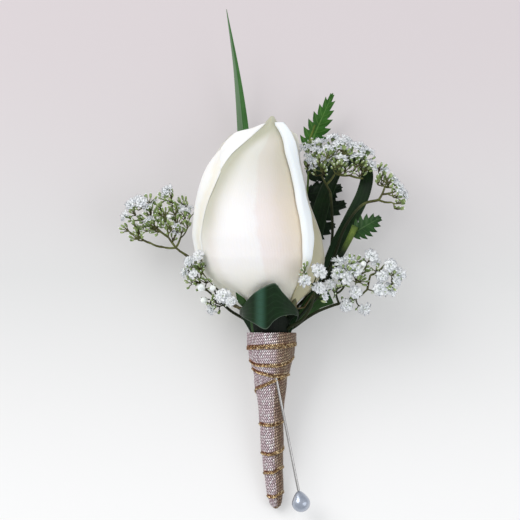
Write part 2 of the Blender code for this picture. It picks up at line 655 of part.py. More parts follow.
SPRAYS = {
    "babys_breath_left": (11, [
        bundle_point(228, BUNDLE_R, -15.0), bundle_point(228, BUNDLE_R, -2.0), (-2.6, 4.4, -5.4),
        (-11.0, 10.4, -7.4), (-18.4, 18.2, -7.6), (-23.6, 24.2, -7.6), (-26.4, 26.4, -7.4),
    ], [
        (1.0, (-43.5, 35.6, -6.6), 5, 4.6, 3.4), (1.0, (-39.4, 42.6, -4.8), 4, 4.6, 3.6),
        (1.0, (-31.6, 42.4, -7.4), 5, 5.2, 3.6), (1.0, (-26.0, 40.0, -9.4), 4, 4.4, 3.6),
        (0.9, (-33.8, 34.2, -3.6), 3, 4.4, 3.4),
    ]),
    "babys_breath_lower_left": (12, [
        bundle_point(205, BUNDLE_R, -13.0), bundle_point(205, BUNDLE_R, -2.0), (-4.6, 3.4, -3.4),
        (-10.6, 7.2, -4.0), (-15.2, 11.4, -1.4),
    ], [
        (1.0, (-22.0, 15.8, 1.4), 5, 3.4, 3.8), (1.0, (-23.0, 22.0, 4.6), 4, 3.0, 3.6),
        (0.85, (-14.6, 10.4, 3.6), 3, 2.6, 4.4), (0.8, (-15.6, 7.8, -3.4), 3, 3.0, 3.8),
    ]),
    "babys_breath_upper_right": (13, [
        bundle_point(298, BUNDLE_R, -15.0), bundle_point(298, BUNDLE_R, -2.0), (8.2, 5.0, -6.2),
        (14.8, 12.2, -10.2), (21.4, 21.0, -12.0), (23.2, 31.0, -12.0), (23.2, 40.0, -10.8),
        (22.6, 47.0, -7.4),
    ], [
        (0.95, (18.2, 60.8, -4.8), 5, 4.4, 4.0), (1.0, (23.4, 59.4, -3.6), 5, 4.8, 4.2),
        (1.0, (29.0, 58.8, -2.6), 5, 4.8, 4.2), (1.0, (34.4, 57.4, -3.4), 4, 4.4, 4.0),
        (0.95, (21.6, 54.4, -1.8), 4, 4.2, 3.8),
    ]),
    "babys_breath_right": (14, [
        bundle_point(324, BUNDLE_R, -14.0), bundle_point(324, BUNDLE_R, -2.0), (11.6, 5.2, -5.0),
        (18.8, 15.0, -5.0), (23.8, 25.6, -4.4), (27.4, 35.4, -3.8), (33.0, 42.6, -3.4),
        (38.6, 44.4, -3.0),
    ], [
        (1.0, (41.8, 51.2, -2.6), 5, 3.8, 3.2), (1.0, (45.6, 45.6, -2.6), 5, 4.0, 3.2),
    ]),
    "babys_breath_lower_right": (15, [
        bundle_point(350, BUNDLE_R, -13.0), bundle_point(350, BUNDLE_R, -2.0), (11.8, 3.0, 0.2),
        (17.4, 7.6, 2.4), (23.0, 13.4, 4.8),
    ], [
        (1.0, (26.8, 21.0, 5.6), 4, 4.2, 4.4), (1.0, (33.0, 20.4, 6.2), 4, 4.6, 4.4),
        (1.0, (38.6, 19.0, 5.4), 4, 4.4, 4.2), (1.0, (34.0, 14.6, 7.0), 3, 3.8, 4.6),
        (0.75, (29.0, 9.4, 5.4), 3, 3.8, 4.6),
    ]),
    "babys_breath_front_right": (16, [
        bundle_point(44, BUNDLE_R, -12.0), bundle_point(44, BUNDLE_R, -2.0), (8.6, 1.8, 4.4),
        (12.8, 4.4, 7.0), (15.6, 8.4, 10.4), (16.8, 12.4, 14.0),
    ], [
        (1.0, (17.4, 17.2, 17.8), 4, 3.4, 4.2), (0.85, (19.2, 12.6, 13.6), 3, 3.0, 4.0),
    ]),
}


def build_sprays():
    for name, (seed, stem, heads) in SPRAYS.items():
        twigs, ends = spray_plan(seed, stem, heads)
        parts = [twig(f"{name}_twig_{i}", *each, BABYS_BREATH) for i, each in enumerate(twigs)]
        for i, (at, way, open_flower, size) in enumerate(ends):
            make = floret if open_flower else bud
            parts.append(make(f"{name}_end_{i}", at, way, size, BABYS_BREATH))
        fuse(name, parts, BABYS_BREATH)


# ---------------------------------------------------------------- ribbon wrap
WRAP_EDGES = [-54.6, -46.6, -40.0, -30.2, -17.4, -10.6, -4.0]
WRAP_STEP = 0.3      # how far each turn's lower edge stands proud of the turn below
WRAP_TILT = 0.14     # each turn climbs to the right as it crosses the front


def build_ribbon():
    """The ribbon, wound up the stems from the bottom: a sleeve with a stepped outside."""
    outer = [(-58.3, 0.9)]
    starts = [-58.0, *WRAP_EDGES]
    for low, high in zip(starts, [*WRAP_EDGES, 0.2]):
        span = high - low
        for share in (0.02, 0.96):
            y = low + span * share
            outer.append((y, WRAP_RADIUS(y) + WRAP_STEP * (0.5 - share)))
    inner = [(y, WRAP_RADIUS(y) - RIBBON_WALL) for y in (0.2, -4, -7.5, -11.5, -15, -20, -25, -38, -46, -52)]
    bm = bmesh.new()
    profile = [(-58.3, 0.0), *outer, *inner, (-52.2, 0.0)]
    verts = [bm.verts.new((radius, y, 0)) for y, radius in profile]
    for a, b in zip(verts, verts[1:]):
        bm.edges.new((a, b))
    bmesh.ops.spin(
        bm, geom=bm.verts[:] + bm.edges[:], axis=(0, 1, 0), cent=(0, 0, 0),
        steps=16, angle=2 * math.pi, use_merge=True,
    )
    bmesh.ops.remove_doubles(bm, verts=bm.verts[:], dist=0.0005)
    bmesh.ops.recalc_face_normals(bm, faces=bm.faces[:])
    for vertex in bm.verts:
        spoke = math.hypot(vertex.co.x, vertex.co.z)
        climb = min(max(-vertex.co.y / 6.0, 0.0), 1.0) * min(max((vertex.co.y + 57) / 6.0, 0.0), 1.0)
        if spoke > WRAP_RADIUS(vertex.co.y) - 0.45:
            vertex.co.y += WRAP_TILT * vertex.co.x * climb
        vertex.co.x += STEM_CENTRE(vertex.co.y)
        vertex.co.z = max(vertex.co.z, table_z(vertex.co.y))
    wrap = new_object("ribbon_wrap", mesh_from(bm, "ribbon_wrap"), RIBBON)
    cut = wrap.modifiers.new("Pin hole", "BOOLEAN")
    cut.operation = "DIFFERENCE"
    cut.object = pin_hole()


def pin_hole():
    """The cutter for the slanting hole that the pin makes in the ribbon."""
    way = (PIN_ENTRY - PEARL_CENTRE).normalized()
    bm = bmesh.new()
    bmesh.ops.create_cone(bm, segments=8, radius1=PIN_R + GAP, radius2=PIN_R + GAP, depth=24.0, cap_ends=True)
    turn = Vector((0, 0, 1)).rotation_difference(way).to_matrix().to_4x4()
    bmesh.ops.transform(bm, matrix=Matrix.Translation(PIN_ENTRY - way * 2.0) @ turn, verts=bm.verts[:])
    cutter = bpy.data.objects.new("pin_hole", mesh_from(bm, "pin_hole"))
    CUTTERS.objects.link(cutter)
    cutter.parent = REST
    cutter.hide_render = True
    cutter.display_type = "WIRE"
    return cutter


# ---------------------------------------------------------------- the pin
def build_pin():
    """A steel pin with a drop-shaped pearl glued on its end."""
    way = (PIN_ENTRY - PEARL_CENTRE).normalized()
    neck = PEARL_CENTRE + way * (PEARL_R + 1.3)
    point = PIN_ENTRY + way * PIN_HIDDEN
    tube("pin_shaft", [neck, point - way * 3.0, point], [PIN_R, PIN_R, 0.08], STEEL, sides=1)
    bm = bmesh.new()
    bmesh.ops.create_uvsphere(bm, u_segments=16, v_segments=10, radius=PEARL_R)
    for vertex in bm.verts:
        if vertex.co.z > 0:
            share = vertex.co.z / PEARL_R
            vertex.co.z += 1.0 * share ** 4
            vertex.co.x *= 1 - 0.12 * share
            vertex.co.y *= 1 - 0.12 * share
    turn = Vector((0, 0, 1)).rotation_difference(way).to_matrix().to_4x4()
    bmesh.ops.transform(bm, matrix=Matrix.Translation(PEARL_CENTRE) @ turn, verts=bm.verts[:])
    pearl = new_object("pin_pearl_head", mesh_from(bm, "pin_pearl_head"), PEARL)
    smooth_shaded(pearl)


# ---------------------------------------------------------------- the whole piece
for old in list(bpy.data.objects):
    bpy.data.objects.remove(old)

PIECES = bpy.data.collections.new("Rose boutonniere")
CUTTERS = bpy.data.collections.new("Cutters")
bpy.context.scene.collection.children.link(PIECES)
bpy.context.scene.collection.children.link(CUTTERS)

REST = bpy.data.objects.new("resting_place", None)
PIECES.objects.link(REST)

PETAL = material("Rose petal", (0.94, 0.91, 0.85), 0.55)
LEAF = material("Leaf green", (0.05, 0.14, 0.04), 0.38)
GREEN_STEM = material("Stem green", (0.16, 0.26, 0.07), 0.5)
BABYS_BREATH = material("Baby's breath", (0.86, 0.89, 0.9), 0.6)
RIBBON = material("Silver and rose mesh ribbon", (0.62, 0.52, 0.5), 0.35, 0.7)
STEEL = material("Pin steel", (0.75, 0.75, 0.77), 0.2, 1.0)
PEARL = material("Pearl", (0.66, 0.7, 0.76), 0.18)

build_rose()
build_grass_blade()
build_back_loop()
build_front_loop()
build_fern()
build_fern_piece()
build_small_leaves()
build_sprays()
build_ribbon()
build_pin()

# Tips the piece back on to the table, and brings millimetres to metres. The origin is the middle of
# the flat place under the grass blade, where the flower's weight comes down on the table.
TIP = Matrix.Rotation(math.atan(REST_SLOPE), 3, "X")
REST.scale = (MM, MM, MM)
REST.rotation_euler = TIP.to_euler()
REST.location = TIP @ Vector((-4.6, 29.0, table_z(29.0))) * -MM
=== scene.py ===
import math
import random

import bmesh
import bpy
import numpy as np
from mathutils import Matrix, Vector


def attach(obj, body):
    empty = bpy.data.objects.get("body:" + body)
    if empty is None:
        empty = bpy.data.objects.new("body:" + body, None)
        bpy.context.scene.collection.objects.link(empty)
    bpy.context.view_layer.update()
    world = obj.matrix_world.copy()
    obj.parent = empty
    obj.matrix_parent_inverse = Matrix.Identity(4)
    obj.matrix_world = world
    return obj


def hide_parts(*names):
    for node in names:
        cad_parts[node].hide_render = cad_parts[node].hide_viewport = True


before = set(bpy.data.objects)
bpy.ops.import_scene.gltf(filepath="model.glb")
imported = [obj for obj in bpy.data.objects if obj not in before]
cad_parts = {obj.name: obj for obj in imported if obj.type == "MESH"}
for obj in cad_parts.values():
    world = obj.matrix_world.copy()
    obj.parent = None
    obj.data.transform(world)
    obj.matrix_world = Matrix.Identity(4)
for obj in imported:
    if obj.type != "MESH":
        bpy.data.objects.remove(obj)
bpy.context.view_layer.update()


# ---------------------------------------------------------------- the rose's stem, hip and sepals
# One grown piece: a green stem cut to length, which swells into the hip under the bud, where five
# short sepals turn out and up under the petals. The whole boutonniere is bundled round it.
MM = 0.001
LEAN = math.atan(0.2)                        # the flower lies tipped back by this angle
REST_POINT = np.array([-4.6, 29.0, -19.0])   # what lies on the table under the bud, in the stem's frame
BUNDLE_X = 2.8
STEM_R = 2.6
BUD_FOOT = 9.7
BUD_HEIGHT = 62.6
PETAL_STEP = 1.4


def smooth_table(stations):
    """A function through (position, value) pairs, with no overshoot between them."""
    xs = [s[0] for s in stations]
    ys = [s[1] for s in stations]
    slopes = [0.0] * len(xs)
    for i in range(1, len(xs) - 1):
        before = (ys[i] - ys[i - 1]) / (xs[i] - xs[i - 1])
        after = (ys[i + 1] - ys[i]) / (xs[i + 1] - xs[i])
        if before * after > 0:
            slopes[i] = 2 * before * after / (before + after)
    slopes[0] = (ys[1] - ys[0]) / (xs[1] - xs[0])
    slopes[-1] = (ys[-1] - ys[-2]) / (xs[-1] - xs[-2])

    def value(x):
        x = min(max(x, xs[0]), xs[-1])
        i = max(j for j in range(len(xs) - 1) if xs[j] <= x)
        width = xs[i + 1] - xs[i]
        t = (x - xs[i]) / width
        return (
            ys[i] * (1 + 2 * t) * (1 - t) ** 2
            + slopes[i] * width * t * (1 - t) ** 2
            + ys[i + 1] * t * t * (3 - 2 * t)
            + slopes[i + 1] * width * t * t * (t - 1)
        )

    return value


def blend(a, b, t):
    return a + (b - a) * t


def ease(x):
    x = min(max(x, 0.0), 1.0)
    return x * x * (3 - 2 * x)


def table_z(y):
    """The table's height in the stem's frame, where the stem runs along +Y and the flower faces +Z."""
    return -(2.8 + 0.2 * (y + 52.0))


stem_centre = smooth_table([
    (-58.5, 4.2), (-53.0, 3.95), (-44.0, 3.3), (-34.0, 2.9), (-20.0, 2.6), (0.0, BUNDLE_X), (20.0, BUNDLE_X),
])


def bundle_point(angle_deg, radius, y):
    """A place in the bundle of stems. Angle 0 is right, 90 is the front."""
    a = math.radians(angle_deg)
    return Vector((stem_centre(y) + radius * math.cos(a), y, radius * math.sin(a)))


def blade(place, across, along, thickness, rim=1.0, tone=0.0, uv=lambda u, v: (u, v)):
    """A thin petal or leaf as one closed body: (points, faces, uv, tone). Its two faces lie either side
    of the surface place(u, v), in mm, and round off to meet at its edges."""
    grid = np.array([[place(i / across, j / along) for i in range(across + 1)] for j in range(along + 1)])
    grid[..., 2] = np.maximum(grid[..., 2], table_z(grid[..., 1]) + 0.5 * thickness)
    normal = np.cross(np.gradient(grid, axis=1), np.gradient(grid, axis=0))
    normal /= np.maximum(np.linalg.norm(normal, axis=2, keepdims=True), 1e-9)
    far = np.full(grid.shape[:2], 1e9)
    for axis in (0, 1):
        steps = np.linalg.norm(np.diff(grid, axis=axis), axis=2)
        first = np.zeros_like(np.take(steps, [0], axis))
        run = np.concatenate([first, np.cumsum(steps, axis=axis)], axis=axis)
        total = np.take(run, [-1], axis)
        far = np.minimum(far, np.minimum(run, total - run))
    reach = np.clip(far / rim, 0, 1)
    half = (0.5 * thickness * np.sqrt(np.clip(1 - (1 - reach) ** 2, 0, 1)))[..., None]
    rows, columns = grid.shape[:2]
    front = np.arange(rows * columns).reshape(rows, columns)
    back = front.copy()
    back[1:-1, 1:-1] = rows * columns + np.arange((rows - 2) * (columns - 2)).reshape(rows - 2, columns - 2)
    points = np.concatenate([
        (grid + normal * half).reshape(-1, 3), (grid - normal * half)[1:-1, 1:-1].reshape(-1, 3)])
    maps = np.array([[uv(i / across, j / along) for i in range(columns)] for j in range(rows)])
    maps = np.concatenate([maps.reshape(-1, 2), maps[1:-1, 1:-1].reshape(-1, 2)])
    faces = []
    for j in range(along):
        for i in range(across):
            faces.append([front[j, i], front[j, i + 1], front[j + 1, i + 1], front[j + 1, i]])
            faces.append([back[j, i], back[j + 1, i], back[j + 1, i + 1], back[j, i + 1]])
    return points, faces, maps, np.full(len(points), tone)


def tube(path, radii, sides, tone=0.0):
    """A round stem through a list of points, closed at both ends: (points, faces, uv, tone)."""
    path = [Vector(p) for p in path]
    rings, maps, faces = [], [], []
    side = Vector((1, 0, 0.01))
    run = 0.0
    for i, point in enumerate(path):
        along = (path[min(i + 1, len(path) - 1)] - path[max(i - 1, 0)]).normalized()
        side = (side - along * side.dot(along)).normalized()
        up = along.cross(side)
        run += (point - path[max(i - 1, 0)]).length
        for k in range(sides):
            a = 2 * math.pi * k / sides
            rings.append(point + (side * math.cos(a) + up * math.sin(a)) * radii[i])
            maps.append((k / sides, run))
    for i in range(len(path) - 1):
        for k in range(sides):
            n = (k + 1) % sides
            faces.append([i * sides + k, i * sides + n, (i + 1) * sides + n, (i + 1) * sides + k])
    faces.append([k for k in reversed(range(sides))])
    faces.append([(len(path) - 1) * sides + k for k in range(sides)])
    return np.array(rings), faces, np.array(maps), np.full(len(rings), tone)


def laid(points):
    """From the stem's own frame, in mm, to the flower as it lies on the table, in metres."""
    tip = np.array(Matrix.Rotation(LEAN, 3, "X"))
    return (np.asarray(points, float) - REST_POINT) @ tip.T * MM


def linked(name, data):
    """A new object that holds the data, put in the scene."""
    made = bpy.data.objects.new(name, data)
    bpy.context.scene.collection.objects.link(made)
    return made


def carry(mesh, name, values):
    """Gives each point of a mesh its own value: a number, a whole number or a direction."""
    values = np.asarray(values)
    kind = "FLOAT_VECTOR" if values.ndim > 1 else "INT" if values.dtype.kind == "i" else "FLOAT"
    layer = mesh.attributes.new(name, kind, "POINT")
    values = values.astype(np.int32 if kind == "INT" else np.float32)
    layer.data.foreach_set("vector" if values.ndim > 1 else "value", values.ravel())


def joined(parts):
    """Several closed bodies as one: its points, its faces, and then what else the points carry."""
    points, faces = [], []
    for part in parts:
        faces += [[int(k) + len(points) for k in face] for face in part[1]]
        points += [tuple(p) for p in part[0]]
    return points, faces, *(np.concatenate(carried) for carried in list(zip(*parts))[2:])


def stands_for(made, node):
    """The piece takes the place of its plain solid, and belongs to the one body."""
    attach(made, "root")
    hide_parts(node)
    return made


def piece(name, parts, finish, node):
    """One mesh object from several closed bodies, laid on the table, in the place of a plain solid."""
    points, faces, maps, tones = joined(parts)
    mesh = bpy.data.meshes.new(name)
    mesh.from_pydata(laid(points).tolist(), [], faces)
    corner = np.zeros(len(mesh.loops), int)
    mesh.loops.foreach_get("vertex_index", corner)
    layer = mesh.uv_layers.new(name="UVMap")
    layer.data.foreach_set("uv", maps[corner].astype(np.float32).ravel())
    carry(mesh, "tone", tones)
    bm = bmesh.new()
    bm.from_mesh(mesh)
    bmesh.ops.remove_doubles(bm, verts=bm.verts[:], dist=2e-7)
    bmesh.ops.dissolve_degenerate(bm, edges=bm.edges[:], dist=1e-7)
    bm.to_mesh(mesh)
    bm.free()
    mesh.shade_smooth()
    mesh.set_sharp_from_angle(angle=math.radians(50))
    mesh.materials.append(finish)
    return stands_for(linked(name, mesh), node)


bud_radius = smooth_table([
    (0.0, 7.8), (0.06, 11.4), (0.13, 15.8), (0.19, 18.0), (0.26, 19.2), (0.34, 19.2), (0.42, 18.2),
    (0.55, 15.8), (0.63, 14.2), (0.71, 12.3), (0.79, 9.9), (0.86, 7.5), (0.91, 5.3), (0.97, 2.4), (1.0, 1.5),
])
bud_centre = smooth_table([
    (0.0, BUNDLE_X), (0.06, 1.8), (0.13, 0.8), (0.19, 0.3), (0.26, -0.4), (0.34, -1.2), (0.42, -1.8),
    (0.55, -2.6), (0.63, -2.3), (0.71, -1.7), (0.79, -0.5), (0.86, 1.4), (0.91, 2.4), (1.0, 3.2),
])
left_flare = smooth_table([
    (0.0, 0.0), (0.06, 0.9), (0.15, 0.4), (0.3, 0.2), (0.42, 0.7), (0.55, 1.2), (0.69, 2.4), (0.79, 3.6),
    (0.87, 4.7), (0.91, 4.4), (1.0, 2.4),
])


def bud_point(angle, h, layer):
    """A point of the bud. Angle 0 faces the front and 90 degrees the right, h runs from the hip up, and
    each layer of petals lies one step further out. The left side opens a little."""
    left = max(0.0, -math.sin(angle))
    radius = max(bud_radius(h) + layer * PETAL_STEP, 0.4)
    radius += left_flare(h) * left * min(max(layer, 0.0), 3.0) * 0.46
    depth = 0.92 if math.cos(angle) > 0 else 0.74
    return Vector((
        bud_centre(h) + radius * math.sin(angle), BUD_FOOT + BUD_HEIGHT * h, radius * math.cos(angle) * depth))


def sepal(angle_deg, layer, reach):
    """A short pointed sepal: out under the petals from the rim of the hip, then up outside them."""
    a = math.radians(angle_deg)

    def place(u, v):
        turn = a + (math.radians(16) * (1 - v) ** 0.8 + math.radians(0.6)) * (2 * u - 1)
        if v > 0.35:
            return bud_point(turn, reach * (v - 0.35) / 0.65, layer) - Vector((0, 1.2, 0))
        root = bud_point(turn, 0.0, -1.2) - Vector((0, 1.9, 0))
        return root.lerp(bud_point(turn, 0.0, layer) - Vector((0, 1.2, 0)), v / 0.35)

    return blade(place, 10, 22, 0.55, 0.6, tone=1.0)


class Nodes:
    """Adds nodes to one tree. A value that one node gives, a number or a colour can be fed to the next."""

    def __init__(self, tree):
        self.tree = tree

    def feed(self, socket, value):
        """Links a value to a socket, or sets it there."""
        value = getattr(value, "socket", value)
        if isinstance(value, bpy.types.NodeSocket):
            self.tree.links.new(value, socket)
        else:
            socket.default_value = (*value, 1.0) if socket.type == "RGBA" else value

    def add(self, kind, inputs=(), **settings):
        """A new node with its own settings and its inputs fed: {socket: value}."""
        made = self.tree.nodes.new(kind)
        for key, value in settings.items():
            setattr(made, key, value)
        for key, value in dict(inputs).items():
            self.feed(made.inputs[key], value)
        return made

    def value(self, kind, inputs=(), output=0, **settings):
        """What one output of a new node gives."""
        return Value(self, self.add(kind, inputs, **settings).outputs[output])

    def group(self, tree, **inputs):
        """What the outputs of a copy of a node group give."""
        made = self.add("ShaderNodeGroup", inputs, node_tree=tree)
        return [Value(self, socket) for socket in made.outputs]

    def split(self, vector):
        made = self.add("ShaderNodeSeparateXYZ", {0: vector})
        return [Value(self, socket) for socket in made.outputs]

    def flat(self):
        """The place on the leaf, petal or ribbon laid flat."""
        return self.value("ShaderNodeUVMap")

    def place(self):
        return self.value("ShaderNodeTexCoord", output="Object")

    def tone(self):
        return self.value("ShaderNodeAttribute", output="Fac", attribute_name="tone")

    def noise(self, vector, scale, detail):
        return self.value("ShaderNodeTexNoise", {"Vector": vector, "Scale": scale, "Detail": detail}, "Fac")

    def tint(self, share, first, second, how="MIX"):
        """Two colours mixed, the second one by `share`."""
        return self.value(
            "ShaderNodeMix", {0: share, 6: first, 7: second}, 2, data_type="RGBA", blend_type=how)

    def mottled(self, scale, fine=0.35):
        return self.group(MOTTLE, Scale=scale, Fine=fine)[0]

    # Painted shade: darkens what stands deep in the bunch.
    def shade_deep_in(self, near, far):
        return self.group(HEART_SHADE, Near=near, Far=far)[0]

    def give(self, *values):
        """Feeds the outputs of a node group, and gives back its tree."""
        out = self.add("NodeGroupOutput")
        for socket, value in zip(out.inputs, values):
            self.feed(socket, value)
        return self.tree


class Value:
    """A number, colour or direction that a node gives. Arithmetic on it adds Math nodes."""

    def __init__(self, nodes, socket):
        self.nodes, self.socket = nodes, socket

    def calc(self, operation, *others):
        return self.nodes.value("ShaderNodeMath", dict(enumerate((self, *others))), operation=operation)

    def __add__(self, other):
        return self.calc("ADD", other)

    def __sub__(self, other):
        return self.calc("SUBTRACT", other)

    def __mul__(self, other):
        return self.calc("MULTIPLY", other)

    def __pow__(self, power):
        return self.calc("POWER", power)

    def __abs__(self):
        return self.calc("ABSOLUTE")

    def wave(self):
        """From 0 up to 1 and back down, once for each whole step."""
        return abs((self * math.pi).calc("SINE"))

    def ridge(self, sharp):
        """1 at each whole step, and lower between, the more so the sharper it is."""
        return (self.wave() * -1.0 + 1.0) ** sharp

    def between(self, low, high, first=0.0, last=1.0):
        """A smooth step from `first` to `last` as the value goes from low to high."""
        return self.nodes.value(
            "ShaderNodeMapRange",
            {"Value": self, "From Min": low, "From Max": high, "To Min": first, "To Max": last}, "Result",
            interpolation_type="SMOOTHSTEP")

    def ramp(self, stops):
        """The colour that the value picks from (position, colour) stops."""
        made = self.nodes.add("ShaderNodeValToRGB", {"Fac": self})
        line = made.color_ramp
        for _ in stops[2:]:
            line.elements.new(0.5)
        for element, (place, colour) in zip(line.elements, stops):
            element.position = place
            element.color = (*colour, 1.0)
        return Value(self.nodes, made.outputs["Color"])


class Finish(Nodes):
    """The nodes of a new material, with the constant values of its shader set."""

    def __init__(self, name, roughness, **constants):
        self.material = bpy.data.materials.new(name)
        self.material.use_nodes = True
        super().__init__(self.material.node_tree)
        self.shader = self.tree.nodes["Principled BSDF"]
        for key, value in {"Roughness": roughness, **constants}.items():
            self.shader.inputs[key.replace("_", " ")].default_value = value

    def done(self, colour, rough=None, height=None, strength=0.3, distance=0.0001):
        """Feeds the shader, with a bump of the given height, and gives back the material."""
        self.feed(self.shader.inputs["Base Color"], colour)
        if rough:
            self.feed(self.shader.inputs["Roughness"], rough)
        if height:
            bump = {"Height": height, "Strength": strength, "Distance": distance}
            self.feed(self.shader.inputs["Normal"], self.value("ShaderNodeBump", bump, "Normal"))
        return self.material


def new_tree(name, inputs, outputs, kind="ShaderNodeTree"):
    """A node group: (its nodes, what its inputs give). Each input is {name: kind, or number to start from},
    and each output {name: kind}."""
    tree = bpy.data.node_groups.new(name, kind)
    for way, sockets in (("INPUT", inputs), ("OUTPUT", outputs)):
        for label, what in sockets.items():
            of_kind = what if isinstance(what, str) else "Float"
            socket = tree.interface.new_socket(label, in_out=way, socket_type="NodeSocket" + of_kind)
            if what is not of_kind:
                socket.default_value = what
    nodes = Nodes(tree)
    given = nodes.add("NodeGroupInput")
    return nodes, [Value(nodes, given.outputs[label]) for label in inputs]


def mottle_group():
    """Cloudy unevenness of a grown surface, at two scales, from the place on the object."""
    nodes, (scale, fine) = new_tree("Grown mottling", {"Scale": 200.0, "Fine": 0.35}, {"Value": "Float"})
    place = nodes.place()
    small = nodes.noise(place, scale * 7.0, 3.0)
    return nodes.give((small - 0.5) * fine + nodes.noise(place, scale, 2.0))


def heart_shade_group():
    """1 deep in the bunch, where stems and leaves are painted dark as shade, and 0 outside it."""
    nodes, (near, far) = new_tree("Heart of the bunch", {"Near": 0.02, "Far": 0.04}, {"Value": "Float"})
    middle = tuple(laid([bundle_point(0, 2.0, 4.0)])[0])
    away = nodes.value("ShaderNodeVectorMath", {0: nodes.place(), 1: middle}, "Value", operation="DISTANCE")
    return nodes.give(away.between(near, far, 1.0, 0.0))


MOTTLE, HEART_SHADE = mottle_group(), heart_shade_group()


def stem_finish():
    """Olive green stem. The sepals dry to brown at their edges."""
    nodes = Finish("Rose stem and sepals", 0.48, Coat_Weight=0.08, Coat_Roughness=0.3)
    across = nodes.split(nodes.flat())[0]
    cloud = nodes.mottled(260.0)
    green = cloud.ramp([(0.3, (0.045, 0.09, 0.015)), (0.5, (0.1, 0.17, 0.035)), (0.72, (0.19, 0.25, 0.07))])
    dry = cloud.ramp([(0.3, (0.06, 0.035, 0.012)), (0.5, (0.13, 0.085, 0.03)), (0.7, (0.16, 0.15, 0.05))])
    age = abs(across - 0.5).between(0.05, 0.45, 0.45, 0.9) + cloud.between(0.35, 0.65, -0.1, 0.5)
    colour = nodes.tint(nodes.tone(), green, nodes.tint(age, green, dry))
    return nodes.done(colour, cloud.between(0.3, 0.7, 0.42, 0.6), cloud, 0.35, 0.0003)


hip = BUD_FOOT - 0.3
stem_profile = smooth_table([
    (-51.5, 1.7), (-47.0, 2.2), (-38.0, 2.6), (-20.0, STEM_R), (1.0, STEM_R), (3.4, 3.4), (5.6, 5.0),
    (7.6, 6.2), (hip - 0.7, 7.6), (hip - 0.2, 8.0), (hip, 7.7),
])
stem_ys = [blend(-51.5, 0.0, i / 30) for i in range(30)] + [blend(0.0, hip, i / 28) for i in range(29)]
stem_path = [(stem_centre(y), y, 0) for y in stem_ys] + [(BUNDLE_X, hip + y, 0) for y in (0.02, 4.0, 8.0)]
stem_parts = [tube(stem_path, [stem_profile(y) for y in stem_ys] + [1.25, 1.15, 1.0], 28)]
stem_parts += [sepal(angle, layer, reach) for angle, layer, reach in (
    (-15, 0.9, 0.085), (40, 2.0, 0.05), (96, 2.25, 0.08), (180, 4.1, 0.085), (250, 3.1, 0.085))]
piece("rose_stem_and_sepals", stem_parts, stem_finish(), "rose_stem_with_calyx")


# ---------------------------------------------------------------- the rose's petals
# A florist's white rose in bud: cream petals as soft as kid leather, wrapped round each other. The
# right one rolls its margin back in a pale strip, and the two on the left lean out a little.


def petal_finish(name, across_stops, foot, shade, band=None, rolled=0.0, crown=(0.66, 0.93, 0.25, 0.7)):
    """Cream petal: tinted across its width by the given stops, greenish at its foot, with faint
    lengthwise veins, a painted shaded band just inside its margin, and painted paler and cooler, as lit,
    along a margin that is rolled back over `rolled` of its width. crown is where the painted shade of its
    upper part begins and is full, how strong it is there, and how much more it gains at the tip."""
    nodes = Finish(
        name, 0.5, Subsurface_Weight=0.2, Subsurface_Radius=(0.9, 0.7, 0.5), Subsurface_Scale=0.0025,
        Sheen_Weight=0.12, Sheen_Roughness=0.4, Specular_IOR_Level=0.3)
    flat = nodes.flat()
    across, up, _ = nodes.split(flat)
    cloud = nodes.mottled(80.0, 0.2)
    colour = ((cloud - 0.5) * 0.12 + across).ramp(across_stops)
    lined = across - (up.between(0.35, 0.8, 0.0, 0.045) + up.between(0.78, 1.1, 0.0, 0.4))
    colour = nodes.tint((cloud * 0.1 + up).between(0.05, 0.34, 1.0, 0.0), colour, foot)
    if band:
        first, crest, last = band
        width = lined.between(first, crest) * lined.between(last, crest)
        colour = nodes.tint(width * (up.between(0.2, 0.5) * 0.8), colour, shade)
    start, full, strength, tip = crown
    beside = lined.between(0.42, 0.24, strength, 0.8) + up.between(0.84, 0.95, 0.0, tip)
    colour = nodes.tint(up.between(start, full) * beside, colour, shade)
    vein = (across * 62.0 + nodes.noise(flat, 5.0, 2.0) * 5.0).wave() ** 0.6
    colour = nodes.tint(vein * -0.09 + 0.09, colour, (0.84, 0.8, 0.68), "MULTIPLY")
    # Painted light: the rolled-back margin is paler and cooler, as a lit strip.
    if rolled:
        strip = across.between(rolled * 1.02, rolled * 0.9, 0.0, 0.95) * up.between(0.13, 0.26)
        colour = nodes.tint(strip, colour, (0.9, 0.95, 0.98))
    creased = nodes.value("ShaderNodeMapping", {"Vector": flat, "Scale": (3.0, 34.0, 1.0)})
    height = nodes.noise(creased, 1.0, 3.0) * up.between(0.42, 0.12) * 1.2 + vein * 0.3
    return nodes.done(colour, cloud.between(0.3, 0.7, 0.44, 0.58), height, 0.3, 0.0004)


WHITE, CREAM = (0.96, 0.955, 0.93), (0.95, 0.92, 0.86)
SIDE_FOOT = (0.88, 0.86, 0.72)
# Painted shade: the stops turn the right side tan and darker, over the petal's own warm tint.
FRONT_FINISH = petal_finish(
    "Front petal",
    [(0.1, (0.93, 0.92, 0.86)), (0.27, (0.96, 0.9, 0.86)), (0.36, (0.98, 0.95, 0.935)),
     (0.565, (0.95, 0.915, 0.9)), (0.59, (0.9, 0.815, 0.79)), (0.68, (0.87, 0.77, 0.72)),
     (0.75, (0.84, 0.73, 0.63)), (0.85, (0.83, 0.71, 0.56)), (0.95, (0.81, 0.69, 0.5))],
    (0.95, 0.92, 0.79), (0.5, 0.5, 0.39), band=(0.15, 0.2, 0.44), crown=(0.45, 0.8, 0.5, 0.45))
# Painted shade: the stops and foot darken its outer side to khaki, away from the key light.
RIGHT_FINISH = petal_finish(
    "Rolled petal",
    [(0.3, (0.46, 0.44, 0.3)), (0.42, (0.49, 0.46, 0.32)), (0.53, (0.59, 0.55, 0.41)), (0.9, CREAM)],
    (0.62, 0.58, 0.38), (0.6, 0.6, 0.42), rolled=0.3)
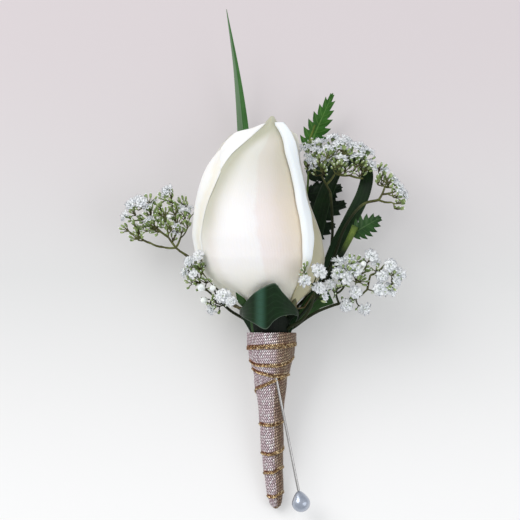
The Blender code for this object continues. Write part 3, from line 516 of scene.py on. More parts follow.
# Painted light: a pale edge line and a white outer side where light falls; cream near its margin.
LEFT_OUTER_FINISH = petal_finish(
    "Left outer petal",
    [(0.0, (0.93, 0.93, 0.9)), (0.015, (0.91, 0.88, 0.79)), (0.05, (0.9, 0.86, 0.75)),
     (0.085, (0.93, 0.93, 0.89)), (0.12, WHITE), (0.9, CREAM)], SIDE_FOOT, WHITE)
LEFT_INNER_FINISH = petal_finish(
    "Left inner petal", [(0.0, WHITE), (0.5, WHITE), (0.9, CREAM)], SIDE_FOOT, WHITE)
INNER_FINISH = petal_finish(
    "Hidden petals", [(0.0, WHITE), (0.6, CREAM), (1.0, WHITE)], (0.76, 0.74, 0.52), (0.93, 0.92, 0.84))


covering_edge = smooth_table([
    (0, -69), (0.13, -77), (0.2, -76), (0.4, -75.5), (0.55, -73), (0.63, -70.5), (0.71, -69.5), (0.79, -65.5),
    (0.857, -56.5), (0.91, -48), (0.974, -26), (1.0, -12)])


def under_the_next(side, h):
    """How the front petal rises under the margin that covers its left edge, and dips beside it."""
    away = side - covering_edge(h)
    fade = min(8 * h, 1.0) * ease((1.02 - h) / 0.1)
    return (0.36 * math.exp(-((away + 4) / 9) ** 2) - 0.2 * math.exp(-((away - 15) / 9) ** 2)) * fade


def petal(name, node, layer, margin, far, top, finish, roll=None, across=56, along=72, wave=(0.25, 3.0, 0.0),
          lean_in=lambda h: 0.0, hug=0.3, lip=lambda side, h: 0.0):
    """One petal. margin(h) and far(h) are the angles of its side edges, and top(u) is the height that it
    reaches. roll(h) gives the radius, turn and flap of a rolled-back margin. wave is how far, how often
    and from where the free edge waves. lean_in(h) presses the margin inwards against the next petal, over
    `hug` of the width, and lip(side, h) lifts the surface."""
    flap = 20 if roll else 0
    deep, often, start_at = wave

    def layer_at(share, v, h, angle):
        free = ease((v - 0.72) / 0.28)
        lift = deep * free * math.sin(2 * math.pi * often * share + start_at) / PETAL_STEP
        ribs = 0.05 * math.sin(36 * share + 2.5 * math.sin(3 * v)) * math.sin(math.pi * v)
        tucked = layer * (1 - 0.75 * (1 - ease(h / 0.07)))
        pressed = lean_in(h) * ease(1 - share / hug) * ease(h / 0.05)
        return tucked + lift + ribs - pressed + lip(math.degrees(angle), h)

    def place(u, v):
        step = u * (across + flap)
        share = max(step - flap, 0) / across
        h = 0.004 + (top(share) - 0.004) * v ** 1.25
        edge = math.radians(margin(h))
        if step >= flap:
            angle = blend(edge, math.radians(far(h)), share)
            return bud_point(angle, h, layer_at(share, v, h, angle))
        radius, turn, length = roll(h)
        ripple = 1 + 0.12 * math.sin(17 * h + start_at) + 0.06 * math.sin(41 * h)
        start = bud_point(edge, h, layer_at(0, v, h, edge))
        near = edge + math.copysign(0.02, math.radians(far(h)) - edge)
        inward = bud_point(near, h, layer_at(0.01, v, h, edge))
        forward = (start - inward).normalized()
        outward = Vector((forward.z, 0, -forward.x))
        if outward.dot(start - Vector((bud_centre(h), start.y, 0))) < 0:
            outward.negate()
        done = (flap - step) / flap
        bend = math.radians(turn) * min(done / 0.8, 1.0)
        rest = length * max(done - 0.8, 0) / 0.2 * ripple
        return (
            start
            + forward * (radius * math.sin(bend) + rest * math.cos(bend))
            + outward * (radius * (1 - math.cos(bend)) + rest * math.sin(bend))
        )

    def at(u, v):
        return (u, 0.004 + (top(u) - 0.004) * v ** 1.25)

    return piece(name, [blade(place, across + flap, along, 0.5, 0.8, uv=at)], finish, node)


petal("front_petal", "rose_petal_front", 0, lambda h: -112, lambda h: 80,
      lambda u: 1.0 - 0.16 * abs(1.8 * u - 1) ** 2.4, FRONT_FINISH,
      across=96, along=96, wave=(0.12, 2.0, 0.6), lip=under_the_next)
petal("right_petal", "rose_petal_right", 1,
      smooth_table([(0, 48), (0.2, 44), (0.35, 48), (0.5, 55), (0.62, 59), (0.7, 59), (0.77, 56), (0.83, 51),
                    (0.9, 46), (1, 38)]),
      lambda h: 176, lambda u: 0.965 - 0.05 * u, RIGHT_FINISH,
      roll=lambda h: (
          blend(0.25, 1.25, ease((h - 0.06) / 0.24)), 165, blend(0.1, 2.2, ease((h - 0.08) / 0.24))),
      across=46, along=84, lean_in=lambda h: 0.58)
petal("left_inner_petal", "rose_petal_left_inner", 1,
      lambda h: (min(covering_edge(h), blend(-84, -70, ease((h - 0.48) / 0.15))) if h < 0.63
                 else covering_edge(h)),
      lambda h: -172, smooth_table([(0, 0.965), (0.15, 0.945), (0.35, 0.92), (0.6, 0.89), (1, 0.86)]),
      LEFT_INNER_FINISH, across=52, along=84, lean_in=lambda h: 0.62,
      lip=lambda side, h: 0.75 * math.exp(-((side + 98) / 22) ** 2) * ease((h - 0.72) / 0.12))
petal("left_outer_petal", "rose_petal_left_outer", 2,
      smooth_table([(0, -69), (0.13, -77), (0.2, -76), (0.4, -75), (0.5, -72.5), (0.56, -69.5), (0.62, -66.5),
                    (0.67, -66), (0.73, -71), (0.79, -82), (0.83, -91), (0.88, -100), (1, -112)]),
      lambda h: -228, lambda u: 0.82 + 0.05 * math.sin(math.pi * min(u * 1.6, 1.0)), LEFT_OUTER_FINISH,
      across=60, along=84, hug=0.17,
      lean_in=smooth_table([
          (0, 1.5), (0.4, 1.56), (0.56, 1.68), (0.7, 1.7), (0.76, 1.5), (0.82, 1.1), (1, 0.8)]))
petal("back_petal", "rose_petal_back", 3, lambda h: -122, lambda h: -244,
      lambda u: 0.955 - 0.05 * (2 * u - 1) ** 2, INNER_FINISH, across=44, wave=(0.35, 5.0, 1.0))
petal("inner_petal", "rose_petal_inner", -1, lambda h: 64, lambda h: 262, lambda u: 0.93 - 0.05 * u,
      INNER_FINISH)


def heart_place(u, v):
    """The innermost petal, rolled one and three quarter turns."""
    h = blend(0.05, 0.88, v)
    radius = max(bud_radius(h) - 2.2 * PETAL_STEP, 2.2) * (1 - 0.56 * u)
    angle = 2 * math.pi * 1.75 * u
    return Vector((
        bud_centre(h) + radius * math.sin(angle), BUD_FOOT + BUD_HEIGHT * h, radius * math.cos(angle) * 0.74))


piece("rolled_heart", [blade(heart_place, 130, 40, 0.5, 0.8)], INNER_FINISH, "rose_heart")


# ---------------------------------------------------------------- the strap leaves and the grass blade
# Long glossy leaves with parallel veins. One stands out above the bud, one loops back on itself behind
# it, and a broad piece is folded across the front; their cut ends are all bound in the wrap.
STRIP_R = 6.6


def smooth_path(points, steps):
    """Points on one smooth curve through the given ones, `steps` to each span."""
    points = [Vector(p) for p in points]
    ends = [points[0] * 2 - points[1], *points, points[-1] * 2 - points[-2]]
    path = []
    for i in range(1, len(ends) - 2):
        p0, p1, p2, p3 = ends[i - 1:i + 3]
        for k in range(steps):
            t = k / steps
            path.append(0.5 * (2 * p1 + (p2 - p0) * t + (2 * p0 - 5 * p1 + 4 * p2 - p3) * t * t
                               + (3 * p1 - p0 - 3 * p2 + p3) * t ** 3))
    path.append(points[-1].copy())
    return path


def lie(x, y, up=0.31):
    """A point just over the table."""
    return Vector((x, y, table_z(y) + up))


def strap(spine, widths, facing, rows, across=12, fold=0.0, curl=0.0, thickness=0.45):
    """A strap-shaped leaf along a spine. facing(t) is where its face looks, fold is how deep its
    V-shaped midrib lies, and curl how far its margins turn, as shares of its half width."""
    path = smooth_path(spine, 8)

    def at(t):
        step = t * (len(path) - 1)
        i = min(int(step), len(path) - 2)
        before = path[max(i - 1, 0)]
        after = path[min(i + 2, len(path) - 1)]
        here = path[i + 1] - path[i]
        along = (here - (path[i] - before)).lerp(after - path[i + 1], step - i)
        return path[i].lerp(path[i + 1], step - i), (here * 2 + along * 0.5).normalized()

    def place(u, v):
        point, along = at(v)
        face = facing(v)
        face = (face - along * face.dot(along)).normalized()
        cross = along.cross(face)
        half = widths(v)
        offset = 2 * u - 1
        rise = fold * (abs(offset) - 0.5) + curl * (offset * offset - 0.4)
        return point + cross * half * offset + face * half * rise

    return blade(place, across, rows, thickness, 0.5)


def turning(angle_deg, final, until=0.3):
    """Faces away from the stem where a leaf leaves the wrap, then turns to its own direction."""
    a = math.radians(angle_deg)
    radial = Vector((math.cos(a), 0, math.sin(a)))

    def facing(t):
        return radial.lerp(final.normalized(), ease((t - 0.1) / until))

    return facing


def vein_group():
    """Parallel veins: thin raised lines along a leaf, every fourth one stronger."""
    nodes, (across, count, wander) = new_tree(
        "Parallel veins", {"Across": 0.0, "Count": 24.0, "Wander": 0.5}, {"Vein": "Float", "Height": "Float"})
    line = across * count + nodes.noise(nodes.place(), 90.0, 1.0) * wander
    fine, strong = line.ridge(1.6), (line * 0.25).ridge(5.0)
    return nodes.give((fine * 0.6).calc("MAXIMUM", strong), fine * 0.5 + strong)


VEINS = vein_group()


def leaf_finish(name, dark, light, vein_colour, rim_colour, count, roughness, coat, right=None, painted_highlight=None):
    """Leaf with parallel veins, a waxy coat and a thin pale rim. right is the painted colour of the half of a
    folded blade that catches the light, and the last colour is that of a painted highlight across the leaf
    where it bends over."""
    nodes = Finish(
        name, roughness, Coat_Weight=coat, Coat_Roughness=0.24, Coat_IOR=1.3, Specular_IOR_Level=0.2)
    across, along, _ = nodes.split(nodes.flat())
    cloud = nodes.mottled(170.0)
    colour = cloud.ramp([(0.3, dark), (0.7, light)])
    if right:
        colour = nodes.tint(across.between(0.47, 0.53), colour, right)
    # Painted highlight: a paler band across the middle of the leaf's length, where it bends over.
    if painted_highlight:
        colour = nodes.tint(abs(along - 0.42).between(0.0, 0.075, 0.8, 0.0), colour, painted_highlight)
    vein, height = nodes.group(VEINS, Across=across, Count=count)
    colour = nodes.tint(vein * 0.55, colour, vein_colour)
    colour = nodes.tint(abs(across - 0.5).between(0.462, 0.49, 0.0, 0.8), colour, rim_colour)
    return nodes.done(
        colour, cloud.between(0.3, 0.75, roughness - 0.05, roughness + 0.1), height, 0.35, 0.00012)


# Painted light: the grass blade's right half is lighter, where its fold catches the light.
GRASS_FINISH = leaf_finish(
    "Grass blade", (0.03, 0.11, 0.022), (0.055, 0.17, 0.04), (0.1, 0.22, 0.08), (0.1, 0.2, 0.08),
    12.0, 0.4, 0.1, right=(0.15, 0.24, 0.14))
STRAP_FINISH = leaf_finish(
    "Strap leaf", (0.002, 0.011, 0.002), (0.006, 0.028, 0.004), (0.016, 0.05, 0.012), (0.03, 0.06, 0.024),
    16.0, 0.42, 0.05)
SUNLIT_FINISH = leaf_finish(
    "Strap leaf in the light", (0.008, 0.04, 0.004), (0.022, 0.08, 0.008), (0.05, 0.12, 0.03),
    (0.08, 0.13, 0.05), 16.0, 0.45, 0.04)
# The front loop leaf gets a painted highlight where it bends over.
FRONT_LOOP_FINISH = leaf_finish(
    "Front loop leaf", (0.001, 0.011, 0.001), (0.003, 0.024, 0.003), (0.012, 0.052, 0.014),
    (0.1, 0.14, 0.1), 22.0, 0.34, 0.02, painted_highlight=(0.04, 0.112, 0.076))
# Painted shade: the leaf's root run in the wrap's mouth is near black.
HOLLOW_FINISH = leaf_finish(
    "Leaf in the hollow", (0.001, 0.003, 0.001), (0.002, 0.006, 0.002), (0.003, 0.009, 0.003),
    (0.004, 0.01, 0.004), 22.0, 0.6, 0.0)

grass = strap(
    [bundle_point(246, STRIP_R - 0.3, -3.0), bundle_point(246, STRIP_R, 1.2), (-1.4, 7.0, -11.6),
     lie(-3.0, 14.0, 0.5), lie(-3.9, 21.0), lie(-4.6, 29.0), lie(-5.2, 38.0), (-5.9, 52.0, -22.2),
     (-6.7, 68.0, -21.2), (-8.9, 88.0, -18.5), (-12.3, 108.8, -15.5)],
    smooth_table([(0, 0.9), (0.2, 2.0), (0.45, 2.3), (0.66, 2.25), (0.8, 1.95), (0.855, 1.5), (0.91, 0.9),
                  (0.96, 0.45), (1, 0.1)]),
    turning(246, Vector((0.0, 0.2, 1.0)) * -1, 0.12), 150, fold=-0.3)
piece("grass_leaf", [grass], GRASS_FINISH, "grass_blade")

loop_lean = smooth_table([(0, 10.0), (0.2, -8.0), (0.35, -30.0), (0.47, -80.0), (0.55, -20.0), (0.7, 10.0),
                          (0.85, 15.0), (0.94, 60.0), (1.0, 132.0)])


def loop_facing(t):
    turn = math.radians(loop_lean(t))
    return Vector((math.sin(turn), 0.0, math.cos(turn)))


back_loop = strap(
    [bundle_point(292, STRIP_R - 0.4, -3.0), bundle_point(293, STRIP_R - 0.2, 2.0), (9.4, 9.4, -10.8),
     (13.4, 19.0, -14.8), (17.2, 32.0, -15.6), (20.2, 44.0, -14.8),
     (25.0, 54.6, -13.0), (31.0, 58.4, -11.0), (34.8, 54.2, -9.0),
     (33.6, 46.6, -8.2), (29.2, 37.4, -8.3), (24.9, 28.6, -9.6),
     (20.3, 17.6, -10.6), (14.0, 7.6, -8.0), bundle_point(313, STRIP_R - 0.2, 2.0),
     bundle_point(313, STRIP_R - 0.3, -3.0)],
    smooth_table([(0, 0.9), (0.15, 1.8), (0.27, 2.8), (0.36, 2.7), (0.48, 2.1), (0.6, 2.3), (0.75, 2.6),
                  (0.87, 2.0), (1, 0.9)]),
    loop_facing, 200, across=14)
piece("looped_leaf_behind", [back_loop], STRAP_FINISH, "leaf_loop_back")

fold_top = smooth_table([
    (-1, -1.4), (-0.82, 3.4), (-0.66, 7.6), (-0.5, 9.4), (-0.3, 13.2), (0, 16.2), (0.13, 16.8), (0.3, 13.6),
    (0.5, 10.2), (0.66, 7.0), (0.82, 3.4), (1, -1.4)])
fold_foot = smooth_table([
    (-1, -4.0), (-0.82, -1.0), (-0.66, 6.0), (-0.5, 5.2), (-0.3, 3.4), (-0.06, 1.4), (0.13, 4.2), (0.3, 5.8),
    (0.5, 6.2), (0.66, 5.4), (0.82, -1.0), (1, -4.0)])
fold_sideways = smooth_table([
    (-1, -5.9), (-0.82, -6.5), (-0.66, -10.4), (-0.5, -9.3), (-0.3, -6.0), (0, -1.0), (0.13, 0.9), (0.3, 3.8),
    (0.5, 6.8), (0.66, 8.8), (0.82, 6.1), (1, 5.6)])
fold_forward = smooth_table([
    (-1, -1.2), (-0.82, -0.2), (-0.66, 1.2), (-0.5, 6.4), (-0.3, 11.0), (0, 13.8), (0.13, 13.9), (0.3, 13.0),
    (0.5, 10.3), (0.66, 6.0), (0.82, 2.5), (1, 2.0)])


def front_loop_place(u, v):
    """The leaf's outer run, from one side of the wrap round to the other; u goes up its width."""
    s = 2 * v - 1
    y = blend(fold_foot(s), fold_top(s), u)
    out = fold_forward(s) + 0.45 * (y - (fold_foot(s) + fold_top(s)) / 2)
    return Vector((BUNDLE_X + fold_sideways(s), y, out))


def front_loop_root(u, v):
    """The run inside it, which stands up out of the wrap."""
    turn = math.radians(blend(158, 34, u))
    y = blend(-3.4, 8.6 - 5.0 * (2 * u - 1) ** 2, v)
    reach = 6.3 + 0.16 * max(y, 0)
    return Vector((BUNDLE_X + reach * math.cos(turn), y, reach * math.sin(turn)))


piece("folded_leaf_in_front", [blade(front_loop_place, 26, 150, 0.45, 0.5)], FRONT_LOOP_FINISH,
      "leaf_loop_front")
piece("folded_leaf_root", [blade(front_loop_root, 24, 20, 0.45, 0.5)], HOLLOW_FINISH,
      "leaf_loop_front")


def stalked(angle, spine, widths, final):
    """A short leaf whose stalk comes up out of the wrap at the given angle."""
    root = [bundle_point(angle, STRIP_R - 0.3, -3.0), bundle_point(angle, STRIP_R, 1.0)]
    return strap([*root, *spine], widths, turning(angle, Vector(final), 0.5), 50)


piece("small_leaf_tip", [stalked(
    160, [(-4.2, 6.2, 2.9), (-6.7, 10.2, 5.3), (-9.0, 13.6, 7.2)],
    smooth_table([(0, 0.9), (0.4, 1.0), (0.62, 1.1), (0.78, 1.7), (0.92, 0.8), (1, 0.1)]),
    (-0.5, -0.35, 0.8))], SUNLIT_FINISH, "leaf_tip_left")
piece("cut_leaf_end", [stalked(
    335, [(13.4, 5.6, -3.8), (17.0, 10.2, -3.2), (22.4, 12.6, -2.4)],
    smooth_table([(0, 0.9), (0.45, 1.7), (0.75, 3.0), (1, 3.2)]),
    (0.1, -0.3, 1.0))], SUNLIT_FINISH, "leaf_cut_end_right")


# ---------------------------------------------------------------- the fern
# Leatherleaf fern, a florist's backing green: a wiry rib with flat side leaves, each cut into forward
# pointing teeth with a vein to each. A second, shorter piece on the right was cut across its rib.
BUNDLE_R = 3.72


def toothed_leaf(base, tip, half_width, teeth, facing, cut=0.3, lobes=0.0, foot=0.12, taper=0.8):
    """A pointed leaf with a saw edge, from base to tip. The uv runs across, and along in teeth."""
    base, tip, facing = Vector(base), Vector(tip), Vector(facing)
    along = (tip - base).normalized()
    face = (facing - along * facing.dot(along)).normalized()
    cross = along.cross(face)
    length = (tip - base).length

    def half_at(row):
        v = row / (2 * teeth)
        full = math.sin(math.pi * min(foot + (1 - foot) * v ** taper, 1.0)) ** 0.8
        if row >= 2 * teeth:
            return 0.03
        return half_width * full * (1.06 if row % 2 else 1 - cut - lobes * (1 - v) - 0.1)

    def place(u, v):
        offset = 2 * u - 1
        step = v * 2 * teeth
        row = min(int(step), 2 * teeth - 1)
        part = step - row
        out = row % 2 == 0
        curve = part ** 0.8 if out else 1 - (1 - part) ** 1.9
        half = blend(half_at(row), half_at(row + 1), curve)
        forward = part if out else 1 - part
        lean = (0.07 + 0.05 * v) * min(1.0, 5 * (1 - v) + 0.1) * length * abs(offset) * forward ** 1.5
        groove = -0.22 * math.exp(-(offset * half / 0.35) ** 2)
        pleat = 0.12 * math.sin(math.pi * (step - 1.2 * abs(offset))) * min(abs(offset) * 3, 1)
        return (base + along * (length * v + lean) + cross * half * offset
                + face * (groove + pleat - 0.25 * half * abs(offset)))

    return blade(place, 12, 2 * teeth * 6, 0.4, 0.4, uv=lambda u, v: (u, v * teeth))


def fern_finish(name, low, high, vein_colour):
    """Green leaf, paler veins from the midrib to each tooth, matt with a slight shine."""
    nodes = Finish(name, 0.5, Specular_IOR_Level=0.2)
    across, along, _ = nodes.split(nodes.flat())
    cloud = nodes.mottled(240.0)
    away = abs(across - 0.5)
    side_vein = (along - away * 1.3).ridge(5.0)
    vein = (side_vein * 0.7).calc("MAXIMUM", away.between(0.045, 0.012))
    leaf = nodes.tint(vein * 0.6, cloud.ramp([(0.3, low), (0.7, high)]), vein_colour)
    rib = cloud.ramp([(0.3, (0.05, 0.09, 0.015)), (0.7, (0.14, 0.2, 0.035))])
    # Painted shade: the rib is darkened where it stands deep in the bunch.
    rib = nodes.tint(nodes.shade_deep_in(0.031, 0.036), rib, (0.006, 0.014, 0.004))
    return nodes.done(nodes.tint(nodes.tone(), leaf, rib), None, vein, 0.4, 0.00015)


FERN_FINISH = fern_finish("Fern", (0.014, 0.07, 0.006), (0.035, 0.13, 0.014), (0.13, 0.26, 0.06))
FERN_SHADE_FINISH = fern_finish(
    "Fern in the shade", (0.002, 0.009, 0.002), (0.005, 0.02, 0.004), (0.01, 0.03, 0.008))
# A darker copy of the fern's colours, for the cut piece on the right.
FERN_DARKER_FINISH = fern_finish(
    "Older fern", (0.008, 0.035, 0.006), (0.022, 0.075, 0.014), (0.07, 0.14, 0.045))

rib = smooth_path([
    bundle_point(262, BUNDLE_R, -15.0), bundle_point(262, BUNDLE_R, -3.0), (3.4, 3.0, -7.6),
    (5.2, 9.4, -13.2), lie(7.6, 17.0, 0.9), lie(10.6, 26.0, 0.9), lie(13.4, 37.0, 0.9),
    (15.2, 50.0, -21.6), (15.6, 63.0, -20.2), (17.6, 70.0, -19.0)], 6)
frond_rib = tube(rib, [blend(0.52, 0.34, i / len(rib)) for i in range(len(rib))], 10, tone=1.0)
upper_leaf = toothed_leaf(
    (15.4, 62.0, -20.2), (23.6, 80.7, -17.0), 4.5, 7, (0.0, 0.2, 1.0),
    cut=0.22, lobes=0.16, foot=0.26, taper=0.58)
piece("fern_frond", [frond_rib, upper_leaf], FERN_FINISH, "fern_frond_back")
piece("fern_leaves_in_the_shade", [
    toothed_leaf(base, tip, half, 5, (0.0, 0.2, 1.0), cut=0.16)
    for base, tip, half in (
        ((15.0, 53.0, -21.4), (25.6, 58.0, -19.8), 4.2),
        ((14.8, 46.4, -21.8), (27.0, 49.0, -20.6), 4.2),
        (lie(13.4, 39.6, 0.9), lie(28.4, 43.6, 0.9), 4.4),
        (lie(12.4, 32.6, 1.2), lie(24.6, 36.6, 1.2), 3.8))],
      FERN_SHADE_FINISH, "fern_frond_back")

cut_rib = smooth_path([
    bundle_point(8, BUNDLE_R, -14.0), bundle_point(8, BUNDLE_R, -1.5), (12.4, 5.6, 0.8),
    (19.6, 14.4, 0.4), (25.2, 24.5, 0.2), (28.4, 30.6, 0.4), (30.8, 35.6, 0.8)], 6)
cut_radius = smooth_table([(0, 0.42), (0.25, 0.5), (0.5, 0.65), (0.75, 0.95), (1, 1.15)])
piece("cut_fern_piece", [
    tube(cut_rib, [cut_radius(i / (len(cut_rib) - 1)) for i in range(len(cut_rib))], 12, tone=1.0),
    toothed_leaf((29.6, 33.0, 0.4), (39.4, 38.7, 1.0), 4.0, 6, (-0.2, 0.1, 1.0))],
      FERN_DARKER_FINISH, "fern_piece_right")


# ---------------------------------------------------------------- baby's breath
# Six sprigs tucked in round the rose. Each is a wiry green stem that forks again and again; the forks
# end in double white flowers the size of a lentil, round white buds and clusters of tiny green ones.
# Each kind of end has a number, how much larger than its size it is drawn, how far below its middle its
# twig stops, as a share of its size, and how far below it the twig forks.
KINDS = {"open": (1, 1.25, 0.36, 3.4), "round": (2, 1.05, 0.24, 3.4), "green": (3, 0.9, 0.24, 2.6)}
